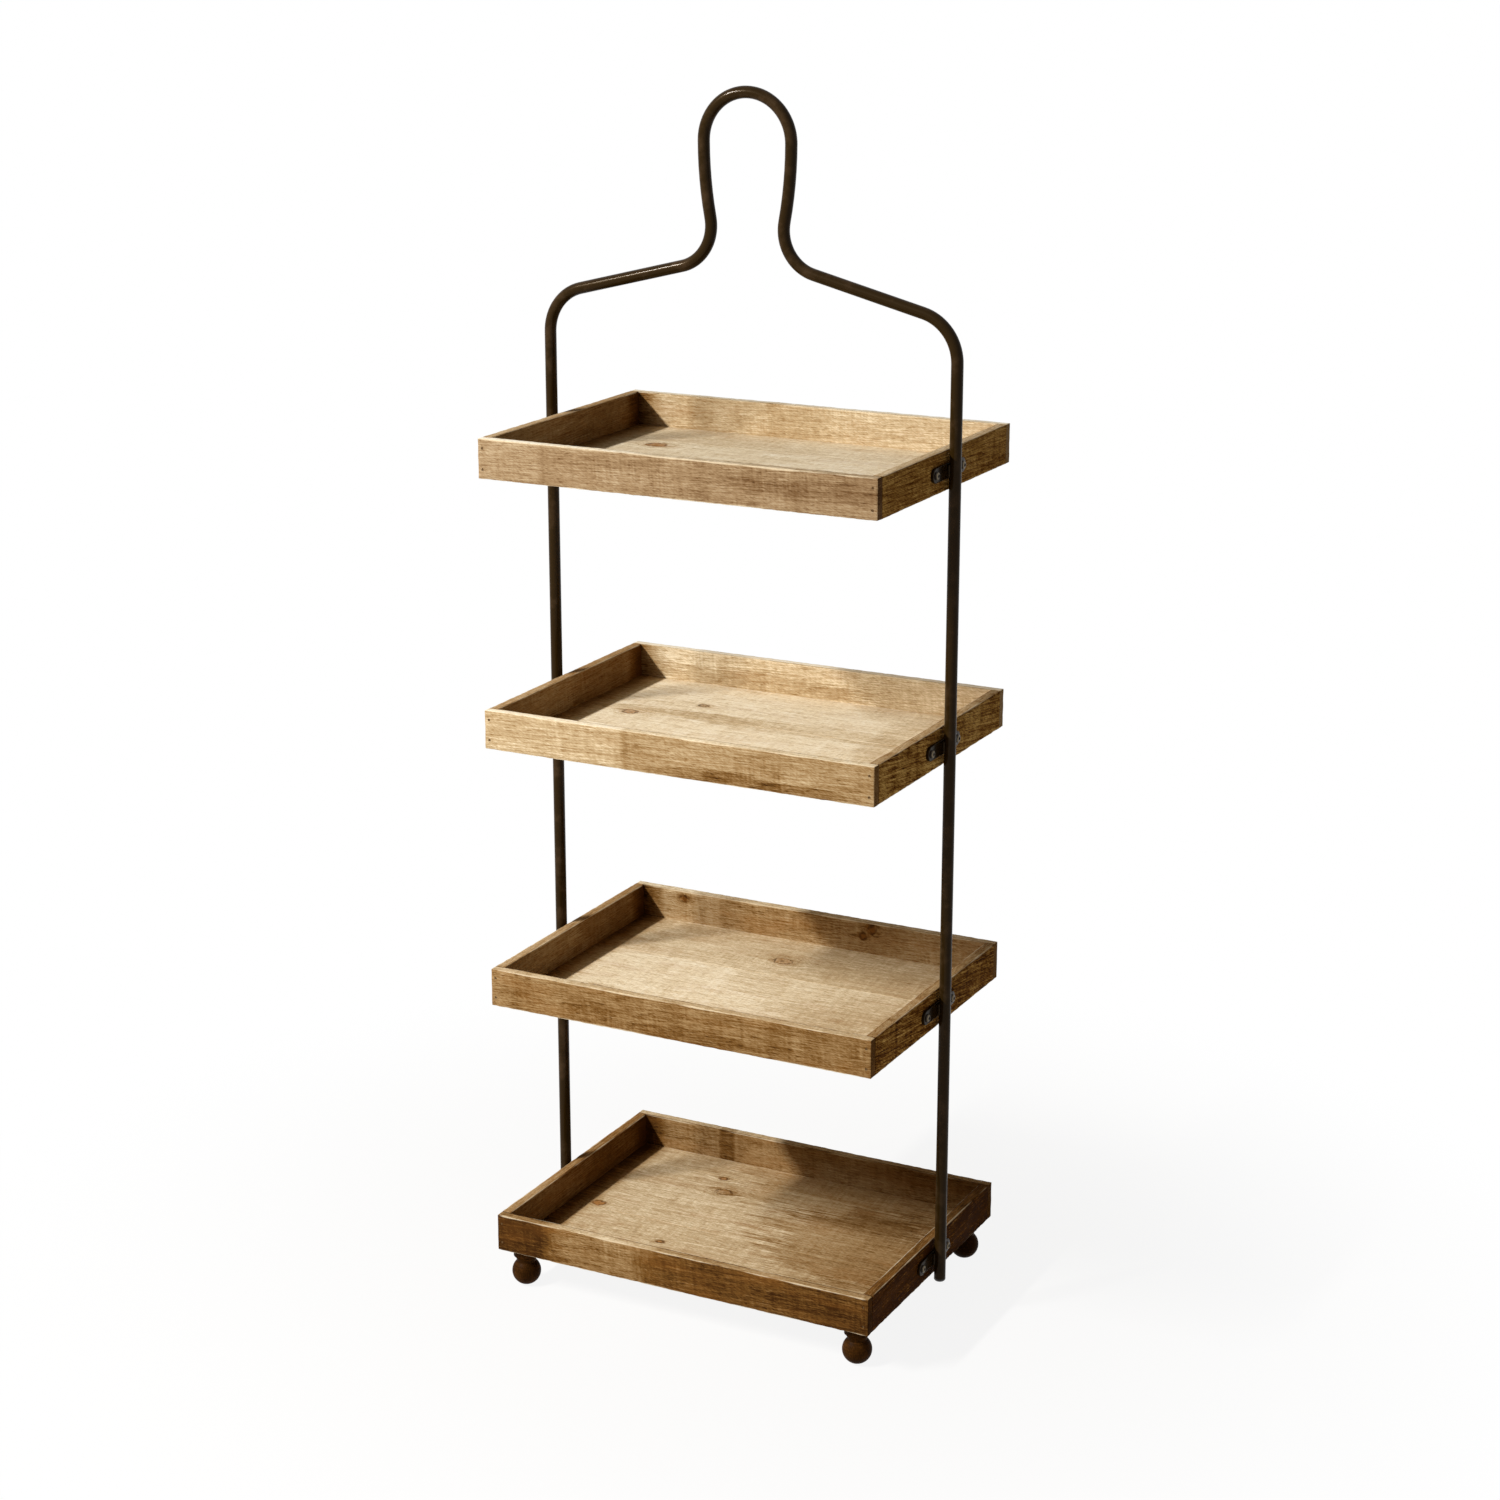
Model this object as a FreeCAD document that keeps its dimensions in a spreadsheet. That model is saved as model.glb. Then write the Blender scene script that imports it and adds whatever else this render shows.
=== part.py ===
import FreeCAD, Part
import math
import os
import re

import Sketcher
from FreeCAD import Placement, Rotation, Vector

# A free-standing display shelf. Four open wooden trays are screwed to one steel tube, which is bent
# into two legs, sloping shoulders and a loop handle, and the bottom tray stands on turned ball feet.
# Millimetres. The origin is on the floor below the middle of the shelf, +Z is up and
# the front of the trays faces -Y.

TRAYS = ("bottom", "lower", "upper", "top")
SIDES = {"left": -1, "right": 1}
ENDS = {"front": -1, "back": 1}

SIZES = {
    # Trays
    "tray_width": 500,
    "tray_depth": 364,
    "tray_pitch": 320,
    "rail_height": 46.5,
    "rail_thickness": 12,
    "rail_edge_radius": 1,
    "floor_thickness": 6,
    "floor_lap": 6,
    "floor_gap": 0.3,
    # Brads that nail the tray corners and the floor
    "corner_brad_diameter": 1.8,
    "corner_brad_length": 26,
    "corner_brad_head_diameter": 2.8,
    "corner_brad_head_height": 1,
    "corner_brad_margin": 11,
    "floor_brad_diameter": 1.4,
    "floor_brad_length": 16,
    "floor_brad_head_diameter": 2.6,
    "floor_brad_head_height": 0.8,
    # Bent tube
    "tube_diameter": 14,
    "tube_wall": 1.5,
    "leg_drop": 2,
    "shoulder_rise": 185.5,
    "shoulder_fall_share": 0.25,
    "shoulder_bend_radius": 55,
    "neck_half_width": 46,
    "neck_bend_radius": 49,
    "handle_rise": 95,
    "handle_half_width": 55,
    # Plugs that close the ends of the tube
    "plug_height": 3.2,
    "plug_rim": 0.8,
    "plug_tip_diameter": 6,
    "plug_stem_length": 14,
    # Straps that hold a tray to a leg
    "strap_thickness": 3.5,
    "strap_height": 17,
    "strap_edge_radius": 0.6,
    "strap_screw_spacing": 72,
    "strap_hole_diameter": 4.4,
    "saddle_width": 13,
    "saddle_height": 14,
    "saddle_rise": 2.4,
    "tube_seat_depth": 0.3,
    # Button-head wood screws through the straps
    "screw_diameter": 4,
    "screw_length": 13,
    "screw_point": 3,
    "screw_head_diameter": 9.5,
    "screw_head_height": 2.8,
    "screw_head_rim": 0.7,
    "screw_head_flat": 5.4,
    "socket_width": 3.5,
    "socket_depth": 1.6,
    # Ball feet
    "foot_height": 49.5,
    "foot_inset": 25,
    "ball_diameter": 35.5,
    "ball_flat_depth": 0.6,
    "neck_diameter": 23.6,
    "collar_diameter": 31,
    "collar_height": 11.5,
    "foot_bolt_diameter": 6,
    "foot_bolt_depth": 20,
    "foot_bolt_reach": 5,
}

# Places of the floor brads along each side of the floor, as shares of half that side.
LONG_SIDE_SHARES = (-0.84, -0.28, 0.28, 0.84)
SHORT_SIDE_SHARES = (-0.75, 0.0, 0.75)

# Places worked out from the sizes
LEG_X = "(tray_width / 2 + strap_thickness + tube_diameter / 2 - tube_seat_depth)"
LEG_BOTTOM = "(foot_height - leg_drop)"
TOP_TRAY = f"(foot_height + tray_pitch * {len(TRAYS) - 1})"
SHOULDER_CORNER = f"({TOP_TRAY} + shoulder_rise)"
SHOULDER_TILT = "atan(shoulder_fall_share)"
LEG_TOP = f"({SHOULDER_CORNER} - shoulder_bend_radius * tan((90 deg - {SHOULDER_TILT}) / 2))"
NECK_X = "(neck_half_width + neck_bend_radius)"
NECK_Z = (
    f"({SHOULDER_CORNER} + ({LEG_X} - {NECK_X}) * shoulder_fall_share"
    f" + neck_bend_radius / cos({SHOULDER_TILT}))"
)
HANDLE_Z = f"({NECK_Z} + handle_rise)"
CORNER_BRAD_X = "(tray_width / 2 - rail_thickness / 2)"
CORNER_BRAD_HEIGHTS = ("corner_brad_margin", "rail_height - corner_brad_margin")
RECESS_X = "(tray_width / 2 - rail_thickness + floor_lap)"
RECESS_Y = "(tray_depth / 2 - rail_thickness + floor_lap)"
FLOOR_BRAD_X = "(tray_width / 2 - rail_thickness + floor_lap / 2)"
FLOOR_BRAD_Y = "(tray_depth / 2 - rail_thickness + floor_lap / 2)"
STRAP_HOLES = (("-strap_screw_spacing / 2", "0"), ("strap_screw_spacing / 2", "0"))

doc = FreeCAD.newDocument("display_shelf")
sheet = doc.addObject("Spreadsheet::Sheet", "Sizes")
for row, (alias, size) in enumerate(SIZES.items(), start=1):
    sheet.set(f"A{row}", alias)
    sheet.set(f"B{row}", str(size))
    sheet.setAlias(f"B{row}", alias)
doc.recompute()

sub_parts = []


def sized(text):
    """Points each size named in an expression at its cell in the sheet."""
    return re.sub(r"[a-z]\w*", lambda word: f"Sizes.{word[0]}" if word[0] in SIZES else word[0], text)


def value(text):
    """Gives the number that an expression comes to."""
    return float(sheet.evalExpression(sized(text)))


def bind(item, name, text):
    item.setExpression(name, sized(text))


def new_body(label):
    body = doc.addObject("PartDesign::Body", label)
    body.Label = label
    sub_parts.append(body)
    return body


def place(body, x="0", y="0", z="0", half_turn=False):
    """Sets a sub-part in its place, turned half round the vertical if asked."""
    body.Placement = Placement(Vector(), Rotation(Vector(0, 0, 1), 180 if half_turn else 0))
    bind(body, "Placement.Base.x", x)
    bind(body, "Placement.Base.y", y)
    bind(body, "Placement.Base.z", z)


def new_sketch(body, role, name, lift="0"):
    """Starts a sketch on one of the body's own origin planes, lifted along that plane's normal."""
    sketch = body.newObject("Sketcher::SketchObject", f"{body.Name}_{name}")
    plane = next(item for item in body.Origin.OriginFeatures if item.Role == role)
    sketch.AttachmentSupport = [(plane, "")]
    sketch.MapMode = "FlatFace"
    bind(sketch, "AttachmentOffset.Base.z", lift)
    return sketch


def constrain(sketch, kind, *arguments):
    """Adds a constraint whose last argument is the expression that drives it."""
    *targets, text = arguments
    index = sketch.addConstraint(Sketcher.Constraint(kind, *targets, value(text)))
    sketch.setExpression(f"Constraints[{index}]", sized(text))


def fix_point(sketch, geometry, point, x, y):
    """Holds a point of the sketch at x, y from its origin."""
    for axis, kind, text in ((-2, "DistanceX", x), (-1, "DistanceY", y)):
        if text == "0":
            sketch.addConstraint(Sketcher.Constraint("PointOnObject", geometry, point, axis))
        else:
            constrain(sketch, kind, -1, 1, geometry, point, text)


def end_near(sketch, geometry, spot):
    """Tells which end of an edge, 1 or 2, lies at a spot."""
    distances = [sketch.getPoint(geometry, end).distanceToPoint(spot) for end in (1, 2)]
    return 1 + distances.index(min(distances))


def arc_middle(start, end, radius, side):
    """Finds the middle of the short arc from start to end that bulges right (1) or left (-1)."""
    chord = end.sub(start)
    half = chord.Length / 2
    rise = radius - math.sqrt(max(radius**2 - half**2, 0))
    across = Vector(chord.y, -chord.x, 0).normalize()
    return start.add(end).multiply(0.5).add(across.multiply(rise * side))


def draw_outline(sketch, corners):
    """Draws a closed outline. A corner is (x, y), or (x, y, radius, side) where an arc leaves it."""
    spots = [Vector(value(corner[0]), value(corner[1]), 0) for corner in corners]
    edges = []
    for index, corner in enumerate(corners):
        start = spots[index]
        end = spots[(index + 1) % len(spots)]
        if len(corner) == 2:
            edges.append(sketch.addGeometry(Part.LineSegment(start, end)))
        else:
            middle = arc_middle(start, end, value(corner[2]), corner[3])
            edges.append(sketch.addGeometry(Part.Arc(start, middle, end)))
    for index, corner in enumerate(corners):
        edge = edges[index]
        last = edges[index - 1]
        head = end_near(sketch, edge, spots[index])
        tail = end_near(sketch, last, spots[index])
        sketch.addConstraint(Sketcher.Constraint("Coincident", last, tail, edge, head))
        fix_point(sketch, edge, head, corner[0], corner[1])
        if len(corner) > 2:
            constrain(sketch, "Radius", edge, corner[2])


def draw_rectangle(sketch, left, bottom, right, top):
    draw_outline(sketch, [(left, bottom), (right, bottom), (right, top), (left, top)])


def draw_circles(sketch, centres, diameter):
    for x, y in centres:
        centre = Vector(value(x), value(y), 0)
        circle = sketch.addGeometry(Part.Circle(centre, Vector(0, 0, 1), value(diameter) / 2))
        fix_point(sketch, circle, 3, x, y)
        constrain(sketch, "Diameter", circle, diameter)


def add_pad(body, sketch, length, reverse=False, both_ways=False):
    pad = body.newObject("PartDesign::Pad", f"{sketch.Name}_pad")
    pad.Profile = sketch
    bind(pad, "Length", length)
    pad.Reversed = reverse
    pad.SideType = "Symmetric" if both_ways else "One side"
    doc.recompute()
    return pad


def cut_pocket(body, sketch, depth, reverse=False, both_ways=False):
    """Cuts a pocket against the sketch's normal, or along it if reversed, and sees that it cuts."""
    before = body.Shape.Volume
    pocket = body.newObject("PartDesign::Pocket", f"{sketch.Name}_pocket")
    pocket.Profile = sketch
    bind(pocket, "Length", depth)
    pocket.Reversed = reverse
    pocket.SideType = "Symmetric" if both_ways else "One side"
    doc.recompute()
    if not body.Shape.Volume < before:
        raise RuntimeError(f"{pocket.Name} cuts nothing")
    return pocket


def add_revolution(body, sketch, axis):
    revolution = body.newObject("PartDesign::Revolution", f"{sketch.Name}_turned")
    revolution.Profile = sketch
    revolution.ReferenceAxis = (sketch, [axis])
    doc.recompute()
    return revolution


def add_fillet(body, feature, radius, wanted=None):
    """Rounds the edges of a feature that pass the test, or all of them."""
    edges = enumerate(feature.Shape.Edges, start=1)
    names = [f"Edge{index}" for index, edge in edges if wanted is None or wanted(edge)]
    fillet = body.newObject("PartDesign::Fillet", f"{feature.Name}_fillet")
    fillet.Base = (feature, names)
    bind(fillet, "Radius", radius)
    doc.recompute()


def runs_along_depth(edge):
    """Tells whether a straight edge runs front to back."""
    return edge.BoundBox.YLength > edge.BoundBox.XLength + edge.BoundBox.ZLength


def tray_height(level):
    return f"foot_height + tray_pitch * {level}"


def corner_brad_places(both_sides):
    signs = (-1, 1) if both_sides else (1,)
    return [(f"{sign} * {CORNER_BRAD_X}", height) for sign in signs for height in CORNER_BRAD_HEIGHTS]


def end_rail_brad_places():
    """Floor brads along the front, which a half turn brings to the back."""
    return [(f"{share} * {RECESS_X}" if share else "0", f"-{FLOOR_BRAD_Y}") for share in LONG_SIDE_SHARES]


def side_rail_brad_places():
    """Floor brads along the right, which a half turn brings to the left."""
    return [(FLOOR_BRAD_X, f"{share} * {RECESS_Y}" if share else "0") for share in SHORT_SIDE_SHARES]


def floor_brad_places():
    ends = end_rail_brad_places()
    sides = side_rail_brad_places()
    turned = [(f"-({x})", f"-({y})" if y != "0" else "0") for x, y in ends + sides]
    return ends + sides + turned


def cut_floor_recess(body):
    """Cuts the rebate in the lower inner edge that takes the tray floor."""
    sketch = new_sketch(body, "XY_Plane", "recess")
    draw_rectangle(sketch, f"-{RECESS_X}", f"-{RECESS_Y}", RECESS_X, RECESS_Y)
    cut_pocket(body, sketch, "floor_thickness", reverse=True)


def cut_floor_brad_holes(body, places, depth):
    sketch = new_sketch(body, "XY_Plane", "floor_brad_holes")
    draw_circles(sketch, places, "floor_brad_diameter")
    cut_pocket(body, sketch, depth, reverse=True)


def make_end_rail(label, level, end):
    """Front or back rail, which runs the whole width and covers the ends of the side rails."""
    body = new_body(label)
    section = new_sketch(body, "YZ_Plane", "section")
    draw_rectangle(section, "-tray_depth / 2", "0", "-tray_depth / 2 + rail_thickness", "rail_height")
    board = add_pad(body, section, "tray_width", both_ways=True)
    add_fillet(body, board, "rail_edge_radius")
    cut_floor_recess(body)
    shanks = new_sketch(body, "XZ_Plane", "brad_holes", "tray_depth / 2")
    draw_circles(shanks, corner_brad_places(both_sides=True), "corner_brad_diameter")
    cut_pocket(body, shanks, "rail_thickness")
    heads = new_sketch(body, "XZ_Plane", "brad_head_holes", "tray_depth / 2")
    draw_circles(heads, corner_brad_places(both_sides=True), "corner_brad_head_diameter")
    cut_pocket(body, heads, "corner_brad_head_height")
    cut_floor_brad_holes(body, end_rail_brad_places(), "floor_brad_length")
    place(body, z=tray_height(level), half_turn=end > 0)


def make_side_rail(label, level, side):
    """Left or right rail, butted between the front and back rails, with pilot holes for the strap."""
    body = new_body(label)
    section = new_sketch(body, "XZ_Plane", "section")
    draw_rectangle(section, "tray_width / 2 - rail_thickness", "0", "tray_width / 2", "rail_height")
    board = add_pad(body, section, "tray_depth - 2 * rail_thickness", both_ways=True)
    add_fillet(body, board, "rail_edge_radius", runs_along_depth)
    cut_floor_recess(body)
    for name, sign in (("front", 1), ("back", -1)):
        lift = f"{sign} * (tray_depth / 2 - rail_thickness)"
        holes = new_sketch(body, "XZ_Plane", f"{name}_brad_holes", lift)
        draw_circles(holes, corner_brad_places(both_sides=False), "corner_brad_diameter")
        cut_pocket(body, holes, "corner_brad_length - rail_thickness", reverse=sign < 0)
    pilots = new_sketch(body, "YZ_Plane", "pilot_holes", "tray_width / 2")
    draw_circles(pilots, [(y, "rail_height / 2") for y, z in STRAP_HOLES], "screw_diameter")
    cut_pocket(body, pilots, "screw_length - strap_thickness")
    cut_floor_brad_holes(body, side_rail_brad_places(), "floor_brad_length")
    place(body, z=tray_height(level), half_turn=side < 0)


def foot_places():
    x = "(tray_width / 2 - foot_inset)"
    y = "(tray_depth / 2 - foot_inset)"
    return {
        f"{end}_{side}": (f"{SIDES[side]} * {x}", f"{ENDS[end]} * {y}") for end in ENDS for side in SIDES
    }


def make_floor(label, level):
    """Glued-up floor panel that lies in the rebate of the four rails."""
    body = new_body(label)
    panel = new_sketch(body, "XY_Plane", "panel")
    half_x = f"({RECESS_X} - floor_gap)"
    half_y = f"({RECESS_Y} - floor_gap)"
    draw_rectangle(panel, f"-{half_x}", f"-{half_y}", half_x, half_y)
    add_pad(body, panel, "floor_thickness")
    cut_floor_brad_holes(body, floor_brad_places(), "floor_thickness")
    heads = new_sketch(body, "XY_Plane", "brad_head_holes")
    draw_circles(heads, floor_brad_places(), "floor_brad_head_diameter")
    cut_pocket(body, heads, "floor_brad_head_height", reverse=True)
    if level == 0:
        bolts = new_sketch(body, "XY_Plane", "bolt_holes")
        draw_circles(bolts, foot_places().values(), "foot_bolt_diameter")
        cut_pocket(body, bolts, "foot_bolt_reach", reverse=True)
    place(body, z=tray_height(level))


def make_corner_brads(label, level):
    """Brads through the front and back rails into the ends of the side rails."""
    body = new_body(label)
    for end, sign in ENDS.items():
        lift = f"{-sign} * tray_depth / 2"
        shanks = new_sketch(body, "XZ_Plane", f"{end}_shanks", lift)
        draw_circles(shanks, corner_brad_places(both_sides=True), "corner_brad_diameter")
        add_pad(body, shanks, "corner_brad_length", reverse=sign < 0)
        heads = new_sketch(body, "XZ_Plane", f"{end}_heads", lift)
        draw_circles(heads, corner_brad_places(both_sides=True), "corner_brad_head_diameter")
        add_pad(body, heads, "corner_brad_head_height", reverse=sign < 0)
    place(body, z=tray_height(level))


def make_floor_brads(label, level):
    """Brads from below through the floor into the rails."""
    body = new_body(label)
    shanks = new_sketch(body, "XY_Plane", "shanks")
    draw_circles(shanks, floor_brad_places(), "floor_brad_diameter")
    add_pad(body, shanks, "floor_brad_length")
    heads = new_sketch(body, "XY_Plane", "heads")
    draw_circles(heads, floor_brad_places(), "floor_brad_head_diameter")
    add_pad(body, heads, "floor_brad_head_height")
    place(body, z=tray_height(level))


def make_strap(label, level, side):
    """Round-ended strap with a welded saddle that holds the leg, screwed to the tray's side rail."""
    body = new_body(label)
    bar = new_sketch(body, "YZ_Plane", "bar")
    half_length = "strap_screw_spacing / 2"
    draw_rectangle(bar, f"-{half_length}", "-strap_height / 2", half_length, "strap_height / 2")
    add_pad(body, bar, "strap_thickness")
    ends = new_sketch(body, "YZ_Plane", "round_ends")
    draw_circles(ends, STRAP_HOLES, "strap_height")
    plate = add_pad(body, ends, "strap_thickness")
    face = value("strap_thickness")
    add_fillet(body, plate, "strap_edge_radius", lambda edge: edge.BoundBox.XMin > face / 2)
    saddle = new_sketch(body, "XY_Plane", "saddle")
    toe = "saddle_width / 2"
    crest = "strap_thickness + saddle_rise"
    shoulder = "(saddle_width / 2 - saddle_rise / 2)"
    draw_outline(
        saddle,
        [
            ("0", f"-{toe}"),
            ("strap_thickness", f"-{toe}"),
            (crest, f"-{shoulder}"),
            (crest, shoulder),
            ("strap_thickness", toe),
            ("0", toe),
        ],
    )
    add_pad(body, saddle, "saddle_height", both_ways=True)
    seat = new_sketch(body, "XY_Plane", "seat")
    centre = "strap_thickness + tube_diameter / 2 - tube_seat_depth"
    draw_circles(seat, [(centre, "0")], "tube_diameter")
    cut_pocket(body, seat, "2 * strap_height", both_ways=True)
    holes = new_sketch(body, "YZ_Plane", "holes", "strap_thickness")
    draw_circles(holes, STRAP_HOLES, "strap_hole_diameter")
    cut_pocket(body, holes, "strap_thickness")
    place(
        body,
        x=f"{side} * tray_width / 2",
        z=f"{tray_height(level)} + rail_height / 2",
        half_turn=side < 0,
    )


def make_strap_screws(label, level, side):
    """The pair of button-head screws of one strap."""
    body = new_body(label)
    profile = new_sketch(body, "XY_Plane", "profile")
    dome_rise = "(screw_head_height - screw_head_rim)"
    dome_reach = "((screw_head_diameter - screw_head_flat) / 2)"
    dome_radius = f"({dome_rise} ^ 2 + {dome_reach} ^ 2) / (2 * {dome_reach})"
    draw_outline(
        profile,
        [
            ("screw_head_height", "0"),
            ("screw_head_height", "screw_head_flat / 2", dome_radius, 1),
            ("screw_head_rim", "screw_head_diameter / 2"),
            ("0", "screw_head_diameter / 2"),
            ("0", "screw_diameter / 2"),
            ("screw_point - screw_length", "screw_diameter / 2"),
            ("-screw_length", "0"),
        ],
    )
    turned = add_revolution(body, profile, "H_Axis")
    socket = new_sketch(body, "YZ_Plane", "socket", "screw_head_height")
    half = "socket_width / 2"
    tip = "socket_width / sqrt(3)"
    draw_outline(
        socket,
        [
            ("0", f"-{tip}"),
            (half, f"-{tip} / 2"),
            (half, f"{tip} / 2"),
            ("0", tip),
            (f"-{half}", f"{tip} / 2"),
            (f"-{half}", f"-{tip} / 2"),
        ],
    )
    pocket = cut_pocket(body, socket, "socket_depth")
    pair = body.newObject("PartDesign::LinearPattern", f"{label}_pair")
    pair.Originals = [turned, pocket]
    depth_axis = next(item for item in body.Origin.OriginFeatures if item.Role == "Y_Axis")
    pair.Direction = (depth_axis, [""])
    bind(pair, "Length", "strap_screw_spacing")
    pair.Occurrences = len(STRAP_HOLES)
    body.Tip = pair
    place(
        body,
        x=f"{side} * (tray_width / 2 + strap_thickness)",
        y=f"{-side} * strap_screw_spacing / 2",
        z=f"{tray_height(level)} + rail_height / 2",
        half_turn=side < 0,
    )


def make_foot(label, x, y):
    """Turned foot: a ball with a small flat, a cove and a collar under the tray."""
    body = new_body(label)
    profile = new_sketch(body, "XZ_Plane", "profile")
    ball_radius = "(ball_diameter / 2)"
    ball_centre = f"({ball_radius} - ball_flat_depth)"
    flat_radius = f"sqrt({ball_radius} ^ 2 - {ball_centre} ^ 2)"
    neck_height = f"({ball_centre} + sqrt({ball_radius} ^ 2 - (neck_diameter / 2) ^ 2))"
    cove_rise = f"(foot_height - collar_height - {neck_height})"
    cove_reach = "((collar_diameter - neck_diameter) / 2)"
    cove_radius = f"({cove_rise} ^ 2 + {cove_reach} ^ 2) / (2 * {cove_reach})"
    bolt_end = "foot_height - foot_bolt_depth"
    draw_outline(
        profile,
        [
            ("0", "0"),
            (flat_radius, "0", ball_radius, 1),
            ("neck_diameter / 2", neck_height, cove_radius, -1),
            ("collar_diameter / 2", "foot_height - collar_height"),
            ("collar_diameter / 2", "foot_height"),
            ("foot_bolt_diameter / 2", "foot_height"),
            ("foot_bolt_diameter / 2", bolt_end),
            ("0", bolt_end),
        ],
    )
    add_revolution(body, profile, "V_Axis")
    place(body, x=x, y=y)


def make_foot_bolts(label):
    """Double-ended wood screws that join the feet to the bottom tray."""
    body = new_body(label)
    shanks = new_sketch(body, "XY_Plane", "shanks", "foot_height - foot_bolt_depth")
    draw_circles(shanks, foot_places().values(), "foot_bolt_diameter")
    add_pad(body, shanks, "foot_bolt_depth + foot_bolt_reach")
    place(body)


def make_plug(label, side):
    """Plug pressed into the lower end of a leg, with a domed tip."""
    body = new_body(label)
    profile = new_sketch(body, "XZ_Plane", "profile")
    dome_rise = "(plug_height - plug_rim)"
    dome_reach = "((tube_diameter - plug_tip_diameter) / 2)"
    dome_radius = f"({dome_rise} ^ 2 + {dome_reach} ^ 2) / (2 * {dome_reach})"
    stem_radius = "tube_diameter / 2 - tube_wall"
    draw_outline(
        profile,
        [
            ("0", "-plug_height"),
            ("plug_tip_diameter / 2", "-plug_height", dome_radius, 1),
            ("tube_diameter / 2", "-plug_rim"),
            ("tube_diameter / 2", "0"),
            (stem_radius, "0"),
            (stem_radius, "plug_stem_length"),
            ("0", "plug_stem_length"),
        ],
    )
    add_revolution(body, profile, "V_Axis")
    place(body, x=f"{side} * {LEG_X}", z=LEG_BOTTOM)


def bent_path():
    """Works out the joints, middles and kinds of edge of the right half of the tube's centre line."""
    leg_x, leg_bottom, leg_top = value(LEG_X), value(LEG_BOTTOM), value(LEG_TOP)
    bend, tilt = value("shoulder_bend_radius"), math.atan(value("shoulder_fall_share"))
    neck, neck_x, neck_z = value("neck_bend_radius"), value(NECK_X), value(NECK_Z)
    handle, handle_z = value("handle_half_width"), value(HANDLE_Z)
    # The waist is the arc that leaves the loop upright and meets the neck bend smoothly.
    draw_in = handle - value("neck_half_width")
    both_radii = (draw_in**2 + (handle_z - neck_z) ** 2) / (2 * draw_in)
    lean = math.asin((handle_z - neck_z) / both_radii)
    waist = both_radii - neck

    def around(x, z, radius, angle):
        return Vector(x + radius * math.cos(angle), z + radius * math.sin(angle), 0)

    bend_x = leg_x - bend
    square = math.pi / 2
    return [
        (Vector(leg_x, leg_bottom, 0), None),
        (Vector(leg_x, leg_top, 0), around(bend_x, leg_top, bend, (square - tilt) / 2)),
        (around(bend_x, leg_top, bend, square - tilt), None),
        (
            around(neck_x, neck_z, neck, -square - tilt),
            around(neck_x, neck_z, neck, -square - tilt - (square - tilt + lean) / 2),
        ),
        (
            around(neck_x, neck_z, neck, math.pi - lean),
            around(handle - waist, handle_z, waist, -lean / 2),
        ),
        (Vector(handle, handle_z, 0), around(0, handle_z, handle, square)),
    ]


def make_frame_tube(label):
    """One tube swept along legs, shoulders, neck and loop, drawn as lines and tangent arcs."""
    body = new_body(label)
    path = new_sketch(body, "XZ_Plane", "path")
    right = bent_path()

    def flipped(spot):
        return Vector(-spot.x, spot.y, 0)

    joints = [joint for joint, middle in right] + [flipped(joint) for joint, middle in reversed(right)]
    middles = [middle for joint, middle in right]
    middles += [middle and flipped(middle) for middle in reversed(middles[:-1])]
    edges = []
    for index, middle in enumerate(middles):
        start = joints[index]
        end = joints[index + 1]
        curve = Part.Arc(start, middle, end) if middle else Part.LineSegment(start, end)
        edges.append(path.addGeometry(curve))
    for index in range(1, len(edges)):
        last = edges[index - 1]
        edge = edges[index]
        tail = end_near(path, last, joints[index])
        head = end_near(path, edge, joints[index])
        path.addConstraint(Sketcher.Constraint("Tangent", last, tail, edge, head))
    loop = edges[len(right) - 1]
    path.addConstraint(Sketcher.Constraint("PointOnObject", loop, 3, -2))
    constrain(path, "DistanceY", -1, 1, loop, 3, HANDLE_Z)
    constrain(path, "Radius", loop, "handle_half_width")
    for end in (1, 2):
        path.addConstraint(Sketcher.Constraint("Horizontal", loop, end, loop, 3))
    right_half = (1, joints[0], edges[0], edges[1], edges[3])
    left_half = (-1, joints[-1], edges[-1], edges[-2], edges[-4])
    for side, foot, leg, bend, neck in (right_half, left_half):
        fix_point(path, leg, end_near(path, leg, foot), f"{side} * {LEG_X}", LEG_BOTTOM)
        path.addConstraint(Sketcher.Constraint("Vertical", leg))
        constrain(path, "Radius", bend, "shoulder_bend_radius")
        constrain(path, "DistanceY", -1, 1, bend, 3, LEG_TOP)
        constrain(path, "Radius", neck, "neck_bend_radius")
        fix_point(path, neck, 3, f"{side} * {NECK_X}", NECK_Z)
    ring = new_sketch(body, "XY_Plane", "ring", LEG_BOTTOM)
    draw_circles(ring, [(LEG_X, "0")], "tube_diameter")
    draw_circles(ring, [(LEG_X, "0")], "tube_diameter - 2 * tube_wall")
    sweep = body.newObject("PartDesign::AdditivePipe", f"{label}_sweep")
    sweep.Profile = ring
    sweep.Spine = (path, [])
    place(body)


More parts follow.
